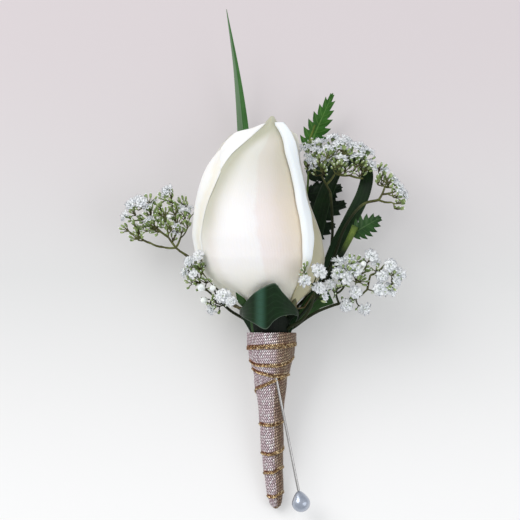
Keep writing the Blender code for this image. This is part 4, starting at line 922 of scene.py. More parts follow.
# A sprig's ends are (x, y, z, size). Its root is (angle round the stems, height of its cut end).
SPRIGS = {
    "left": dict(
        seed=21, face=(-0.45, 0.75, 0.35), root=(228, -15.0),
        stem=[(-2.6, 4.4, -5.4), (-11.0, 10.4, -7.4), (-18.4, 18.2, -7.6), (-23.6, 24.2, -7.6),
              (-26.4, 26.4, -7.4)],
        forks=[(-31.7, 32.0, -6.0), (-27.7, 31.7, -8.4), (-33.7, 28.7, -7.2), (-37.7, 30.0, -6.6),
               (-42.0, 32.7, -6.4), (-36.0, 35.5, -5.0)],
        open=[(-46.3, 39.0, -6.0, 3.4), (-42.7, 44.3, -5.0, 3.8), (-38.7, 42.0, -3.4, 3.4),
              (-36.7, 43.6, -7.0, 3.2), (-32.0, 48.0, -6.4, 3.8), (-29.0, 35.7, -3.6, 3.2),
              (-29.2, 33.2, -5.4, 2.8), (-27.7, 41.7, -8.6, 3.2), (-24.8, 41.7, -11.0, 3.0),
              (-44.2, 42.8, -3.8, 3.8), (-40.7, 43.8, -2.6, 3.8), (-32.4, 46.4, -6.0, 3.6),
              (-26.0, 40.6, -6.4, 3.8), (-38.2, 37.8, -3.4, 3.2)],
        round=[(-31.0, 38.6, -4.6, 2.8)],
        green=[(-33.3, 37.0, -2.4, 2.6), (-25.8, 37.0, -10.0, 2.8), (-44.3, 41.2, -7.4, 2.6),
               (-46.9, 35.6, -6.8, 2.6), (-43.3, 37.0, -4.4, 2.6), (-44.2, 32.0, -5.6, 2.6),
               (-39.0, 45.5, -6.0, 2.8), (-35.0, 42.6, -4.0, 2.6), (-38.7, 39.6, -6.4, 2.6),
               (-34.3, 46.0, -8.0, 2.8), (-31.0, 44.4, -5.4, 2.8), (-28.0, 44.6, -9.4, 2.8),
               (-34.3, 39.4, -6.4, 2.6), (-30.4, 41.6, -6.4, 2.6), (-40.6, 35.4, -7.4, 2.6),
               (-35.4, 41.0, -3.0, 2.8), (-29.4, 43.2, -4.4, 2.8), (-32.4, 35.2, -2.8, 2.6),
               (-41.4, 38.8, -6.8, 2.4), (-33.6, 41.0, -3.8, 2.6), (-36.6, 37.0, -5.0, 2.6),
               (-31.2, 36.6, -3.0, 2.6), (-28.6, 38.8, -5.2, 2.6), (-26.4, 43.4, -9.6, 2.6),
               (-39.0, 36.2, -5.0, 2.6), (-40.8, 33.3, -6.4, 2.6), (-42.0, 35.3, -5.4, 2.6),
               (-28.0, 35.3, -6.0, 2.6), (-33.8, 38.1, -4.4, 2.6), (-37.4, 33.6, -5.6, 2.4)]),
    "lower_left": dict(
        seed=22, face=(-0.4, 0.4, 0.85), root=(205, -13.0),
        stem=[(-4.6, 3.4, -3.4), (-10.6, 7.2, -4.0), (-15.2, 11.4, -1.4)],
        forks=[(-18.6, 14.2, 0.4), (-21.4, 18.0, 2.0), (-14.2, 9.6, 2.4)],
        open=[(-21.6, 25.7, 7.0, 3.6), (-24.6, 23.9, 4.6, 3.4), (-26.0, 20.4, 2.4, 3.4),
              (-23.2, 19.6, 5.4, 3.2), (-13.2, 12.4, 8.4, 4.6), (-17.3, 8.0, -2.6, 4.0),
              (-10.6, 10.6, 9.4, 3.2), (-22.6, 24.6, 3.0, 3.2)],
        round=[(-20.5, 15.2, 4.4, 4.6), (-16.6, 14.8, 7.0, 3.6), (-19.4, 11.0, 1.6, 4.2)],
        green=[(-25.0, 22.0, 2.0, 2.6), (-22.2, 22.0, 3.6, 2.8), (-25.6, 17.2, 1.2, 2.6),
               (-17.0, 11.0, 4.8, 2.6), (-20.2, 22.9, 4.6, 2.6), (-20.8, 20.4, 5.2, 2.6),
               (-22.8, 16.6, 3.6, 2.6), (-19.0, 17.8, 4.6, 2.6), (-18.6, 9.8, 2.4, 2.4)]),
    "upper_right": dict(
        seed=23, face=(0.1, 0.85, 0.45), root=(298, -15.0),
        stem=[(8.2, 5.0, -6.2), (14.8, 12.2, -10.2), (21.4, 21.0, -12.0), (23.2, 31.0, -12.0),
              (23.2, 40.0, -10.8), (22.6, 47.0, -7.4)],
        forks=[(19.4, 53.0, -6.0), (24.2, 53.4, -5.0), (29.0, 52.6, -4.2), (33.4, 51.6, -3.6)],
        open=[(14.2, 62.0, -5.4, 4.2), (15.6, 58.6, -3.4, 4.0), (17.6, 61.0, -2.0, 4.2),
              (19.2, 63.9, -6.0, 4.2), (21.8, 61.4, -0.8, 4.4), (23.4, 65.2, -4.4, 4.4),
              (26.0, 63.8, -1.8, 4.4), (29.8, 62.6, -3.4, 4.0), (31.4, 59.0, 0.2, 4.2), (35.3, 60.6, -4.0, 4.4),
              (36.4, 56.0, -2.0, 4.2), (26.4, 58.2, 0.4, 4.2), (20.7, 57.6, -3.0, 3.8), (16.6, 55.6, -6.0, 3.8),
              (33.4, 62.4, -6.4, 3.6), (18.2, 63.4, -4.4, 3.8), (24.6, 62.2, -0.4, 3.8),
              (27.8, 64.8, -4.8, 3.6), (28.2, 60.6, -4.2, 3.6), (32.4, 61.2, -1.8, 3.6),
              (34.0, 57.6, -4.0, 3.6), (23.4, 59.4, -3.6, 3.6), (16.4, 57.4, -1.6, 3.4)],
        green=[(16.4, 64.0, -7.0, 2.8), (24.2, 60.4, -5.6, 2.8), (28.4, 60.2, -1.4, 2.8),
               (14.0, 56.8, -5.0, 2.8), (30.8, 55.6, -1.6, 3.0), (34.0, 58.2, -1.2, 2.8),
               (33.4, 54.4, -4.4, 2.8), (23.6, 56.6, -1.4, 2.8), (19.4, 56.0, -0.8, 2.8),
               (28.0, 56.0, -4.6, 2.8), (21.0, 54.6, -2.6, 2.8), (26.4, 54.4, -1.4, 2.8),
               (22.4, 60.2, 1.2, 2.8), (27.2, 61.6, 1.0, 2.8), (18.8, 59.0, 0.2, 2.8), (31.6, 57.2, 0.8, 2.8),
               (25.0, 57.0, 1.6, 2.8)]),
    "right": dict(
        seed=24, face=(0.6, 0.65, 0.3), root=(324, -14.0),
        stem=[(11.6, 5.2, -5.0), (18.8, 15.0, -5.0), (23.8, 25.6, -4.4), (27.4, 35.4, -3.8), (33.0, 42.6, -3.4),
              (38.6, 44.4, -3.0)],
        forks=[(40.8, 49.0, -3.0), (42.8, 43.6, -2.6), (43.4, 47.0, -3.4)],
        open=[(40.3, 54.6, -3.4, 3.6), (45.4, 49.0, -2.0, 4.4), (47.4, 46.0, -3.6, 3.6),
              (44.0, 51.2, -3.4, 3.4), (45.6, 47.0, -0.8, 3.2)],
        green=[(39.4, 56.2, -1.4, 2.6), (38.2, 52.0, -2.6, 2.6), (42.6, 52.2, -2.0, 2.8),
               (43.8, 49.8, -4.2, 2.6), (46.8, 44.2, -1.8, 2.6), (46.4, 41.4, -2.4, 2.6),
               (40.6, 51.6, -4.6, 2.6)]),
    "lower_right": dict(
        seed=25, face=(0.2, 0.25, 0.95), root=(350, -13.0),
        stem=[(11.8, 3.0, 0.2), (17.4, 6.8, 2.4), (22.6, 9.0, 3.8), (26.6, 10.2, 4.4)],
        forks=[(24.2, 13.2, 4.8), (27.0, 15.6, 4.2), (34.7, 14.6, 4.2), (35.7, 19.3, 4.2), (40.3, 22.6, 4.0)],
        open=[(25.0, 23.7, 6.6, 4.2), (28.6, 24.4, 5.0, 4.2), (27.4, 18.6, 9.0, 4.8), (30.4, 21.2, 7.8, 4.6),
              (24.6, 20.0, 8.4, 3.8), (36.0, 25.8, 5.0, 4.4), (42.3, 22.6, 6.2, 4.2), (39.6, 19.0, 6.4, 3.8),
              (45.3, 19.6, 4.6, 4.6), (38.7, 14.5, 7.4, 4.8), (42.4, 14.6, 4.6, 4.4), (30.7, 13.5, 8.2, 4.2),
              (27.6, 9.2, 6.6, 4.2), (33.7, 8.0, 5.2, 4.2), (21.9, 16.2, 7.4, 3.6), (26.6, 21.6, 5.2, 3.8),
              (37.6, 23.4, 3.6, 3.4), (44.4, 17.2, 6.6, 3.6)],
        round=[(33.2, 22.8, 6.2, 3.4)],
        green=[(31.6, 25.0, 5.0, 2.8), (34.2, 21.0, 6.8, 2.8), (43.6, 20.4, 6.2, 2.8), (23.6, 14.4, 6.2, 3.0),
               (28.8, 21.4, 9.6, 2.8), (26.0, 20.2, 9.4, 2.8), (31.6, 18.6, 7.4, 2.8), (33.6, 18.0, 5.4, 2.8),
               (30.2, 23.6, 7.6, 2.6), (25.2, 15.8, 7.6, 2.8), (38.2, 21.2, 5.6, 2.8), (41.2, 15.0, 7.0, 2.8),
               (29.4, 11.8, 7.0, 2.8)]),
    "front_right": dict(
        seed=26, face=(0.1, 0.2, 1.0), root=(44, -12.0),
        stem=[(8.6, 1.8, 4.4), (12.8, 4.4, 7.0), (15.6, 8.4, 10.4), (16.8, 12.4, 14.0)],
        forks=[(16.6, 16.4, 16.2)],
        open=[(18.4, 20.8, 18.0, 4.8), (13.7, 17.5, 19.6, 4.2), (18.4, 15.2, 16.6, 4.2),
              (20.2, 12.6, 13.6, 3.4)],
        green=[(13.6, 21.8, 19.4, 3.0)]),
}


def little_petal(length, width, rise, turn, twist, notch):
    """One ruffled petal of a double flower: a closed lens of a few faces, from the middle outwards. Its
    tones run from green at its root to white."""
    rows = [(0.05, 0.35), (0.4, 0.8), (0.78, 1.0), (1.0, 0.7)]
    face, back = [], []
    for k, (reach, share) in enumerate(rows):
        for side in (-1, 0, 1):
            out = length * (reach - (notch if side == 0 and k == 3 else 0.0))
            lift = 0.1 * width * (1 if side else -1) * (k > 0)
            bend = rise - 0.45 * reach
            x = out * math.cos(bend)
            z = out * math.sin(bend) + lift
            y = side * width * share * 0.5
            x, y = x * math.cos(turn) - y * math.sin(turn), x * math.sin(turn) + y * math.cos(turn)
            z += twist * side * reach * width
            face.append((x, y, z))
            back.append((x, y, z - 0.02))
    front = [[r * 3 + c for c in range(3)] for r in range(4)]
    rear = [row[:] for row in front]
    rear[1][1], rear[2][1] = 12, 13
    faces = []
    for r in range(3):
        for c in range(2):
            faces.append([front[r][c], front[r + 1][c], front[r + 1][c + 1], front[r][c + 1]])
            faces.append([rear[r][c], rear[r][c + 1], rear[r + 1][c + 1], rear[r + 1][c]])
    return [*face, back[4], back[7]], faces, [0.6] * 3 + [0.2] * 3 + [0.0] * 6 + [0.2, 0.0]


def ring_body(profile, sides, flute, tones):
    """A small turned body from (height, radius) pairs, closed to a point at both ends."""
    points = [(0, 0, profile[0][0])]
    for height, radius in profile[1:-1]:
        for s in range(sides):
            a = 2 * math.pi * s / sides
            r = radius * (1 + flute * (1 if s % 2 else -1))
            points.append((r * math.cos(a), r * math.sin(a), height))
    points.append((0, 0, profile[-1][0]))
    last, faces = len(points) - 1, []
    top_ring = 1 + (len(profile) - 3) * sides
    for s in range(sides):
        n = (s + 1) % sides
        faces.append([0, 1 + n, 1 + s])
        for a in range(1, top_ring, sides):
            faces.append([a + s, a + n, a + sides + n, a + sides + s])
        faces.append([top_ring + s, top_ring + n, last])
    return points, faces, np.broadcast_to(tones, len(points))


def pattern(name, parts):
    """A pattern piece that the sprigs copy. It is taken away again when they are done."""
    points, faces, tones = joined(parts)
    mesh = bpy.data.meshes.new(name)
    mesh.from_pydata(points, [], faces)
    carry(mesh, "tone", tones)
    bm = bmesh.new()
    bm.from_mesh(mesh)
    bmesh.ops.recalc_face_normals(bm, faces=bm.faces[:])
    bm.to_mesh(mesh)
    bm.free()
    mesh.shade_smooth()
    return linked(name, mesh)


def open_flower(name, seed):
    """A double flower one unit across: three whorls of ruffled petals over a green cup."""
    draw = random.Random(seed)
    parts = []
    for count, length, width, rise in ((7, 0.52, 0.34, 0.42), (6, 0.42, 0.3, 0.86), (4, 0.27, 0.22, 1.3)):
        for k in range(count):
            turn = 2 * math.pi * (k + draw.uniform(-0.22, 0.22)) / count + rise
            parts.append(little_petal(
                length * draw.uniform(0.85, 1.05), width, rise + draw.uniform(-0.14, 0.14), turn,
                draw.uniform(-0.35, 0.35), draw.uniform(0.05, 0.2)))
    parts.append(ring_body([(-0.42, 0), (-0.38, 0.06), (-0.2, 0.12), (0.0, 0.15), (0.06, 0.0)], 6, 0.12, 1.0))
    return pattern(name, parts)


PATTERNS = {
    "Open flower": open_flower("pattern_flower_a", 5),
    "Other open flower": open_flower("pattern_flower_b", 9),
    "Round bud": pattern("pattern_round_bud", [
        ring_body([(-0.14, 0), (-0.08, 0.2), (0.1, 0.29), (0.27, 0.22), (0.37, 0.1), (0.4, 0)], 9, 0.04,
                  [0.5] + [0.45] * 9 + [0.22] * 9 + [0.12] * 9 + [0.25] * 9 + [0.35]),
        ring_body([(-0.32, 0), (-0.26, 0.08), (-0.1, 0.19), (0.03, 0.24), (0.04, 0)], 6, 0.1, 1.0)]),
    "Green bud": pattern("pattern_green_bud", [
        ring_body([(-0.42, 0), (-0.36, 0.08), (-0.1, 0.18), (0.2, 0.18), (0.4, 0.09), (0.42, 0)], 6, 0.08, 1.0),
        ring_body([(0.2, 0), (0.24, 0.1), (0.42, 0.1), (0.56, 0)], 5, 0.0, 0.2)]),
}


def sprig_plan(sprig):
    """(twigs, tips) of one sprig. A twig is (points, radii) and a tip is (place, way, kind, size). Each end
    hangs on the nearest fork, with two more small buds beside it, or four beside a green one."""
    draw = random.Random(sprig["seed"])
    face = Vector(sprig["face"]).normalized()
    angle, foot = sprig["root"]
    root = [bundle_point(angle, BUNDLE_R, foot), bundle_point(angle, BUNDLE_R, -2.0)]
    path = smooth_path([*root, *sprig["stem"]], 6)
    twigs = [(path, [blend(0.55, 0.46, i / len(path)) for i in range(len(path))])]
    joints = [(p, 0.0) for p in path[-9:]]
    tips = []

    def nearest_joint(target):
        return min(joints, key=lambda j: (j[0] - target).length + 0.35 * j[1])

    def branch(target, radius, bow):
        start, far = nearest_joint(target)
        arm = target - start
        side = arm.cross(face).normalized() if arm.length > 0.01 else Vector((1, 0, 0))
        steps = (0, 0.25, 0.5, 0.75, 1)
        points = [start + arm * t + (side * bow + Vector((0, -0.07, 0))) * arm.length * math.sin(math.pi * t)
                  for t in steps]
        twigs.append((points, [blend(radius, radius * 0.8, t) for t in steps]))
        joints.append((points[2], far + arm.length / 2))
        joints.append((target, far + arm.length))
        return arm.normalized()

    for fork in sprig["forks"]:
        branch(Vector(fork), 0.4, draw.uniform(-0.06, 0.06))
    ends = [(Vector((x, y, z)), kind, size) for kind in KINDS for x, y, z, size in sprig.get(kind, ())]
    for tip, kind, size in sorted(ends, key=lambda end: (end[0] - path[-1]).length):
        number, larger, stop, stalk = KINDS[kind]
        way = ((tip - nearest_joint(tip)[0]).normalized() + face * 0.9).normalized()
        fork = tip - way * stalk
        arm = branch(fork, 0.26, draw.uniform(-0.1, 0.1))
        way = (way + Vector([draw.uniform(-0.3, 0.3) for _ in range(3)])).normalized()
        neck = tip - way * size * stop
        twigs.append(([fork, fork.lerp(neck, 0.5) + arm * 0.2, neck], [0.2, 0.18, 0.16]))
        tips.append((tip, way, number, size * larger))
        side = way.cross(face + Vector((0.3, 0.1, 0.2))).normalized()
        beside = ((-1, 1.0), (1, 1.0))
        if kind == "green":
            beside = ((-1.2, 0.9), (1.2, 0.9), (-0.5, 1.5), (0.6, 1.3))
        for hand, lift in beside:
            lean = (way * draw.uniform(0.7, 1.1) * lift + side * hand * draw.uniform(0.7, 1.0)).normalized()
            end = fork + lean * draw.uniform(2.2, 3.1)
            twigs.append(([fork, fork.lerp(end, 0.55) + way * 0.15, end - lean * 0.5], [0.18, 0.16, 0.14]))
            tips.append((end, (lean + way * 0.5).normalized(), KINDS["green"][0], draw.uniform(1.9, 2.5)))
    return twigs, tips


def bare(name, points, links, **carried):
    """A mesh object of bare points and edges, laid on the table, whose points carry the given values."""
    mesh = bpy.data.meshes.new(name)
    mesh.from_pydata(laid(points).tolist(), links, [])
    for key, values in carried.items():
        carry(mesh, key, values)
    return linked(name, mesh)


def sprig_source(name, twigs, tips):
    """Two bare meshes: the twigs as edges that carry their radius, and the tips as points that carry
    their kind, size and direction."""
    lines, links, radii = [], [], []
    for points, widths in twigs:
        links += [(len(lines) + k, len(lines) + k + 1) for k in range(len(points) - 1)]
        lines += points
        radii += widths
    places, ways, kinds, sizes = zip(*tips)
    ways = np.array(ways) @ np.array(Matrix.Rotation(LEAN, 3, "X")).T
    return (bare(name + "_twigs", lines, links, radius=np.array(radii) * MM),
            bare(name + "_flowers", places, [], way=ways, kind=kinds, size=np.array(sizes) * MM))


def named(nodes, name, kind):
    """What each point carries under that name."""
    return nodes.value("GeometryNodeInputNamedAttribute", {"Name": name}, data_type=kind)


def twig_tree():
    """Geometry nodes that draw a round twig along each line, as thick as its radius says."""
    nodes, (lines, sides, finish) = new_tree(
        "Twigs along lines", {"Geometry": "Geometry", "Sides": "Int", "Finish": "Material"},
        {"Geometry": "Geometry"}, "GeometryNodeTree")
    line = nodes.value("GeometryNodeMeshToCurve", {"Mesh": lines})
    thick = named(nodes, "radius", "FLOAT")
    sized = nodes.value("GeometryNodeSetCurveRadius", {"Curve": line, "Radius": thick})
    ring = nodes.value("GeometryNodeCurvePrimitiveCircle", {"Resolution": sides, "Radius": 1.0})
    body = nodes.add("GeometryNodeCurveToMesh", {"Curve": sized, "Profile Curve": ring, "Fill Caps": True})
    if "Scale" in body.inputs:
        nodes.feed(body.inputs["Scale"], thick)
    whole = nodes.value("GeometryNodeRealizeInstances", {"Geometry": body.outputs[0]})
    smooth = nodes.value("GeometryNodeSetShadeSmooth", {0: whole})
    return nodes.give(nodes.value("GeometryNodeSetMaterial", {"Geometry": smooth, "Material": finish}))


def flower_tree():
    """Geometry nodes that set a flower or a bud on each tip, turned to its way and spun at random."""
    nodes, (tips, *shapes, seed, finish) = new_tree(
        "Flowers on tips",
        {"Geometry": "Geometry", **dict.fromkeys(PATTERNS, "Object"), "Seed": "Int", "Finish": "Material"},
        {"Geometry": "Geometry"}, "GeometryNodeTree")
    way = named(nodes, "way", "FLOAT_VECTOR")
    aimed = nodes.value("FunctionNodeAlignRotationToVector", {"Vector": way}, axis="Z")
    spin = nodes.value("FunctionNodeRandomValue", {"Max": (0.0, 0.0, 2 * math.pi), "Seed": seed},
                       data_type="FLOAT_VECTOR")
    turned = nodes.value(
        "FunctionNodeRotateRotation", {"Rotation": aimed, "Rotate By": spin}, rotation_space="LOCAL")
    kind, size = named(nodes, "kind", "INT"), named(nodes, "size", "FLOAT")
    heads = nodes.value("FunctionNodeRandomValue", {"Seed": seed}, "Value", data_type="BOOLEAN")
    tails = nodes.value("FunctionNodeBooleanMath", {0: heads}, operation="NOT")
    all_placed = nodes.add("GeometryNodeJoinGeometry")
    for shape, of_kind, coin in zip(shapes, ("open", "open", "round", "green"), (heads, tails, None, None)):
        number = KINDS[of_kind][0]
        chosen = nodes.value("FunctionNodeCompare", {2: kind, 3: number}, data_type="INT", operation="EQUAL")
        if coin:
            chosen = nodes.value("FunctionNodeBooleanMath", {0: chosen, 1: coin}, operation="AND")
        body = nodes.value("GeometryNodeObjectInfo", {"Object": shape}, "Geometry")
        nodes.feed(all_placed.inputs[0], nodes.value("GeometryNodeInstanceOnPoints", {
            "Points": tips, "Selection": chosen, "Instance": body, "Rotation": turned, "Scale": size}))
    whole = nodes.value("GeometryNodeRealizeInstances", {"Geometry": all_placed.outputs[0]})
    return nodes.give(nodes.value("GeometryNodeSetMaterial", {"Geometry": whole, "Material": finish}))


def grown(made, tree, values):
    """Runs a tree on an object and leaves its result as the object's plain mesh."""
    modifier = made.modifiers.new("Grow", "NODES")
    modifier.node_group = tree
    for socket in tree.interface.items_tree:
        if socket.in_out == "INPUT" and socket.name in values:
            modifier[socket.identifier] = values[socket.name]
    bpy.context.view_layer.update()
    graph = bpy.context.evaluated_depsgraph_get()
    mesh = bpy.data.meshes.new_from_object(made.evaluated_get(graph))
    made.modifiers.remove(modifier)
    made.data = mesh
    return made


def twig_finish(name, near, far):
    """Wiry stem: yellow green, browner in patches, and painted dark as shade where it stands deep in the bunch.
    """
    nodes = Finish(name, 0.6, Specular_IOR_Level=0.2)
    cloud = nodes.mottled(330.0, 0.5)
    colour = cloud.ramp([(0.3, (0.05, 0.035, 0.014)), (0.48, (0.09, 0.095, 0.03)), (0.7, (0.17, 0.19, 0.06))])
    return nodes.done(nodes.tint(nodes.shade_deep_in(near, far), colour, (0.016, 0.022, 0.006)), None, cloud)


def flower_finish():
    """Papery white petals on green cups and buds; the white petals have a painted glow for light through them.
    """
    nodes = Finish("Baby's breath flower", 0.6, Subsurface_Weight=0.35, Subsurface_Radius=(0.8, 0.8, 0.8),
                   Subsurface_Scale=0.0015, Emission_Strength=0.12)
    cloud = nodes.mottled(420.0, 0.6)
    white = cloud.ramp([(0.3, (0.84, 0.88, 0.91)), (0.6, (0.96, 0.98, 0.99))])
    green = cloud.ramp([(0.3, (0.1, 0.15, 0.04)), (0.5, (0.23, 0.32, 0.1)), (0.68, (0.46, 0.53, 0.28))])
    tone = nodes.tone()
    # Painted glow: the white petals emit a little light, standing in for light shining through them.
    nodes.feed(nodes.shader.inputs["Emission Color"], nodes.tint(tone, (0.86, 0.9, 1.0), (0.0, 0.0, 0.0)))
    return nodes.done(nodes.tint(tone, white, green), None, cloud, 0.25)


TWIGS, FLOWERS = twig_tree(), flower_tree()
TWIG_FINISH = twig_finish("Baby's breath stem", 0.018, 0.034)
SHADED_TWIG_FINISH = twig_finish("Baby's breath stem in the shade", 0.042, 0.055)
FLOWER_FINISH = flower_finish()
for place, sprig in SPRIGS.items():
    twig_piece, flower_piece = sprig_source("sprig_" + place, *sprig_plan(sprig))
    shaded = place in ("right", "upper_right")
    grown(twig_piece, TWIGS, {"Sides": 6, "Finish": SHADED_TWIG_FINISH if shaded else TWIG_FINISH})
    grown(flower_piece, FLOWERS, {**PATTERNS, "Seed": sprig["seed"], "Finish": FLOWER_FINISH})
    stands_for(twig_piece, "babys_breath_" + place)
    stands_for(flower_piece, "babys_breath_" + place)
for shape in PATTERNS.values():
    bpy.data.objects.remove(shape)


# ---------------------------------------------------------------- the ribbon wrap
# One length of metallic mesh ribbon with copper-gold edges, wound up the stems from their cut ends. Each
# turn laps over the one below; the last turns cross, where the pin goes through, and finish at the mouth.
RIBBON_WIDTH = 16.0
TURN_STEP = 0.3       # from one turn of ribbon to the next, outwards
RIBBON_THICK = 0.16
FIRST_TURN, LAST_TURN = -1.0, 7.7
WRAP_STEPS = 640

wrap_radius = smooth_table([
    (-58.6, 0.05), (-58.2, 1.0), (-57.0, 1.9), (-55.0, 2.5), (-53.0, 2.8), (-49.0, 3.15), (-44.0, 3.45),
    (-39.0, 3.8), (-34.0, 4.0), (-29.0, 4.1), (-24.0, 4.4), (-19.7, 5.1), (-14.7, 5.8), (-11.3, 6.7),
    (-7.3, 7.7), (-4.0, 8.1), (0.4, 8.4),
])
# The lower edge's height, turn by turn from the left side: x.25 is the front, x.5 the right, x.75 the back.
lower_edge = smooth_table([
    (-1.0, -58.6), (-0.3, -58.3), (0.0, -54.4), (0.22, -55.0), (0.36, -53.8), (0.5, -53.1), (0.75, -50.5),
    (1.0, -46.8), (1.22, -46.9), (1.36, -45.4), (1.5, -44.8), (1.75, -43.0), (2.0, -40.1), (2.2, -40.8),
    (2.36, -39.8), (2.5, -38.4), (2.75, -35.0), (3.0, -30.4), (3.22, -31.1), (3.36, -30.4), (3.5, -29.1),
    (3.75, -24.0), (4.0, -19.4), (4.15, -18.2), (4.3, -16.0), (4.5, -13.4), (4.75, -12.4), (5.0, -12.0),
    (5.15, -13.6), (5.28, -14.6), (5.5, -14.0), (5.75, -12.0), (6.0, -9.3), (6.14, -11.0), (6.28, -11.2),
    (6.36, -10.6), (6.5, -8.1), (6.75, -6.4), (7.0, -5.1), (7.25, -4.7), (7.5, -3.7), (7.75, -3.0),
])
turn_on_top = smooth_table([
    (-58.6, -0.8), (-54.6, 0.25), (-46.6, 1.25), (-40.2, 2.25), (-30.6, 3.25), (-17.0, 4.25), (-14.0, 5.25),
    (-10.8, 6.25), (-4.6, 7.25), (0.4, 7.9),
])


def wrap_point(turn, share, out=0.0):
    """A place on the ribbon: turns from its start, and share of its width from the lower edge up."""
    low = lower_edge(turn)
    high = min(low + RIBBON_WIDTH, 0.15 + 0.12 * math.sin(2 * math.pi * turn))
    y = blend(low, high, share)
    angle = math.pi - 2 * math.pi * turn
    radius = wrap_radius(y) + TURN_STEP * (turn - turn_on_top(y)) + out
    pucker = 0.05 * math.sin(19 * angle + 3 * share) * ease(min(share, 1 - share) * 5)
    radius = max(radius + pucker, 0.03)
    point = Vector((stem_centre(y) + radius * math.cos(angle), y, radius * math.sin(angle)))
    point.z = max(point.z, table_z(y) + 0.1 + out)
    return point


def wrap_run():
    """How far along the ribbon each step of its winding lies, in mm."""
    run, total, before = [0.0], 0.0, wrap_point(FIRST_TURN, 0.5)
    for k in range(1, WRAP_STEPS + 1):
        here = wrap_point(blend(FIRST_TURN, LAST_TURN, k / WRAP_STEPS), 0.5)
        total += (here - before).length
        before = here
        run.append(total)
    return run


RUN = wrap_run()


def wrap_uv(u, v):
    """Across and along the ribbon, in cm, so that the mesh keeps one size all over."""
    turn = blend(FIRST_TURN, LAST_TURN, v)
    across = (wrap_point(turn, u) - wrap_point(turn, 0.0)).length
    return across / 10, RUN[round(v * (len(RUN) - 1))] / 10


def mesh_group():
    """Woven metallic mesh: slanting rows of short thread floats, each row a little on from the last."""
    nodes, (flat, pitch) = new_tree(
        "Woven mesh", {"UV": "Vector", "Pitch": 18.0}, {"Height": "Float", "Thread": "Float", "Spark": "Float"})
    across, along, _ = nodes.split(flat)
    rows = (along * -1.6 + across) * pitch
    row = rows.calc("FLOOR")
    step = (across * 1.6 + along) * pitch * 0.5 + row * 0.37
    height = rows.wave() ** 0.9 * step.wave() ** 0.45
    cell = nodes.value("ShaderNodeCombineXYZ", {"X": row, "Y": step.calc("FLOOR")})
    spark = nodes.value("ShaderNodeTexWhiteNoise", {"Vector": cell}, "Value")
    return nodes.give(height, height.between(0.3, 0.72), spark)


WOVEN = mesh_group()


def ribbon_finish():
    """Silver mesh over a rose-brown ground, with painted shade that makes it darker and olive on the
    side turned to the right, away from the key light, and darker and rosier at its far left edge,
    with a band of copper-gold threads along each edge."""
    nodes = Finish("Silver and rose mesh ribbon", 0.32, Metallic=0.6, Specular_IOR_Level=0.5)
    flat = nodes.flat()
    across, along, _ = nodes.split(flat)
    height, thread, spark = nodes.group(WOVEN, UV=flat, Pitch=9.0)
    ground = nodes.mottled(160.0).ramp([(0.3, (0.13, 0.085, 0.09)), (0.7, (0.2, 0.135, 0.14))])
    silver = spark.ramp([(0.0, (0.62, 0.48, 0.53)), (0.5, (0.92, 0.78, 0.83)), (1.0, (1.0, 0.97, 0.98))])
    colour = nodes.tint(thread, ground, silver)
    turned = nodes.split(nodes.value("ShaderNodeNewGeometry", output="Normal"))[0]
    # Painted shade: darker and olive where the wrap turns right, darker and rosier at its far left.
    colour = nodes.tint(turned.between(-0.2, 0.5), colour, (0.38, 0.3, 0.19), "MULTIPLY")
    colour = nodes.tint(turned.between(-0.6, -1.0, 0.0, 0.25), colour, (0.72, 0.54, 0.57), "MULTIPLY")
    width, run = RIBBON_WIDTH / 10, RUN[-1] / 10
    upper_edge = across.between(width - 0.16, width - 0.1) * along.between(run - 9.2, run - 9.0, 1.0, 0.0)
    gold = spark.ramp([(0.0, (0.16, 0.08, 0.04)), (0.5, (0.44, 0.3, 0.15)), (1.0, (0.9, 0.75, 0.48))])
    gold = nodes.tint(turned.between(0.0, -0.9), gold, (0.75, 0.35, 0.3), "MULTIPLY")
    gold = nodes.tint(thread, (0.08, 0.03, 0.015), gold)
    colour = nodes.tint(across.between(0.13, 0.1).calc("MAXIMUM", upper_edge), colour, gold)
    return nodes.done(colour, spark.between(0.0, 1.0, 0.5, 0.2), height, 0.9, 0.0003)


ribbon_body = blade(
    lambda u, v: wrap_point(blend(FIRST_TURN, LAST_TURN, v), u), 16, WRAP_STEPS, RIBBON_THICK, 0.15, uv=wrap_uv)
ribbon = piece("wound_ribbon", [ribbon_body], ribbon_finish(), "ribbon_wrap")


def gold_finish():
    """Copper-gold wire thread in bright specks, redder on the side where the ribbon is rose."""
    nodes = Finish("Gold edging", 0.3, Metallic=1.0)
    cloud = nodes.mottled(1300.0, 0.9)
    colour = cloud.ramp([(0.36, (0.09, 0.04, 0.02)), (0.5, (0.36, 0.22, 0.1)), (0.64, (0.92, 0.74, 0.44))])
    side = nodes.split(nodes.place())[0]
    colour = nodes.tint(side.between(0.003, -0.003, 0.0, 0.85), colour, (0.7, 0.32, 0.28), "MULTIPLY")
    return nodes.done(colour, cloud.between(0.3, 0.7, 0.45, 0.22))


def edging_source():
    """The lower edge of the ribbon as three strands plaited together, loosest on the last turn."""
    steps = 1500
    lines, links = [], []
    for strand in range(3):
        for k in range(steps + 1):
            turn = blend(-0.1, LAST_TURN - 0.02, k / steps)
            done = (turn - FIRST_TURN) / (LAST_TURN - FIRST_TURN)
            twist = RUN[min(int(done * WRAP_STEPS), WRAP_STEPS)] / 0.5 + 2.1 * strand
            loose = 0.22 + 0.36 * ease((turn - 6.8) / 0.2)
            point = wrap_point(turn, 0.012 + 0.5 * (loose - 0.2) / RIBBON_WIDTH, 0.14 + 0.1 * math.sin(twist))
            point.y += loose * math.cos(twist)
            if k:
                links.append((len(lines) - 1, len(lines)))
            lines.append(point)
    return bare("ribbon_edging", lines, links, radius=[0.14 * MM] * len(lines))


edging = grown(edging_source(), TWIGS, {"Sides": 5, "Finish": gold_finish()})
stands_for(edging, "ribbon_wrap")


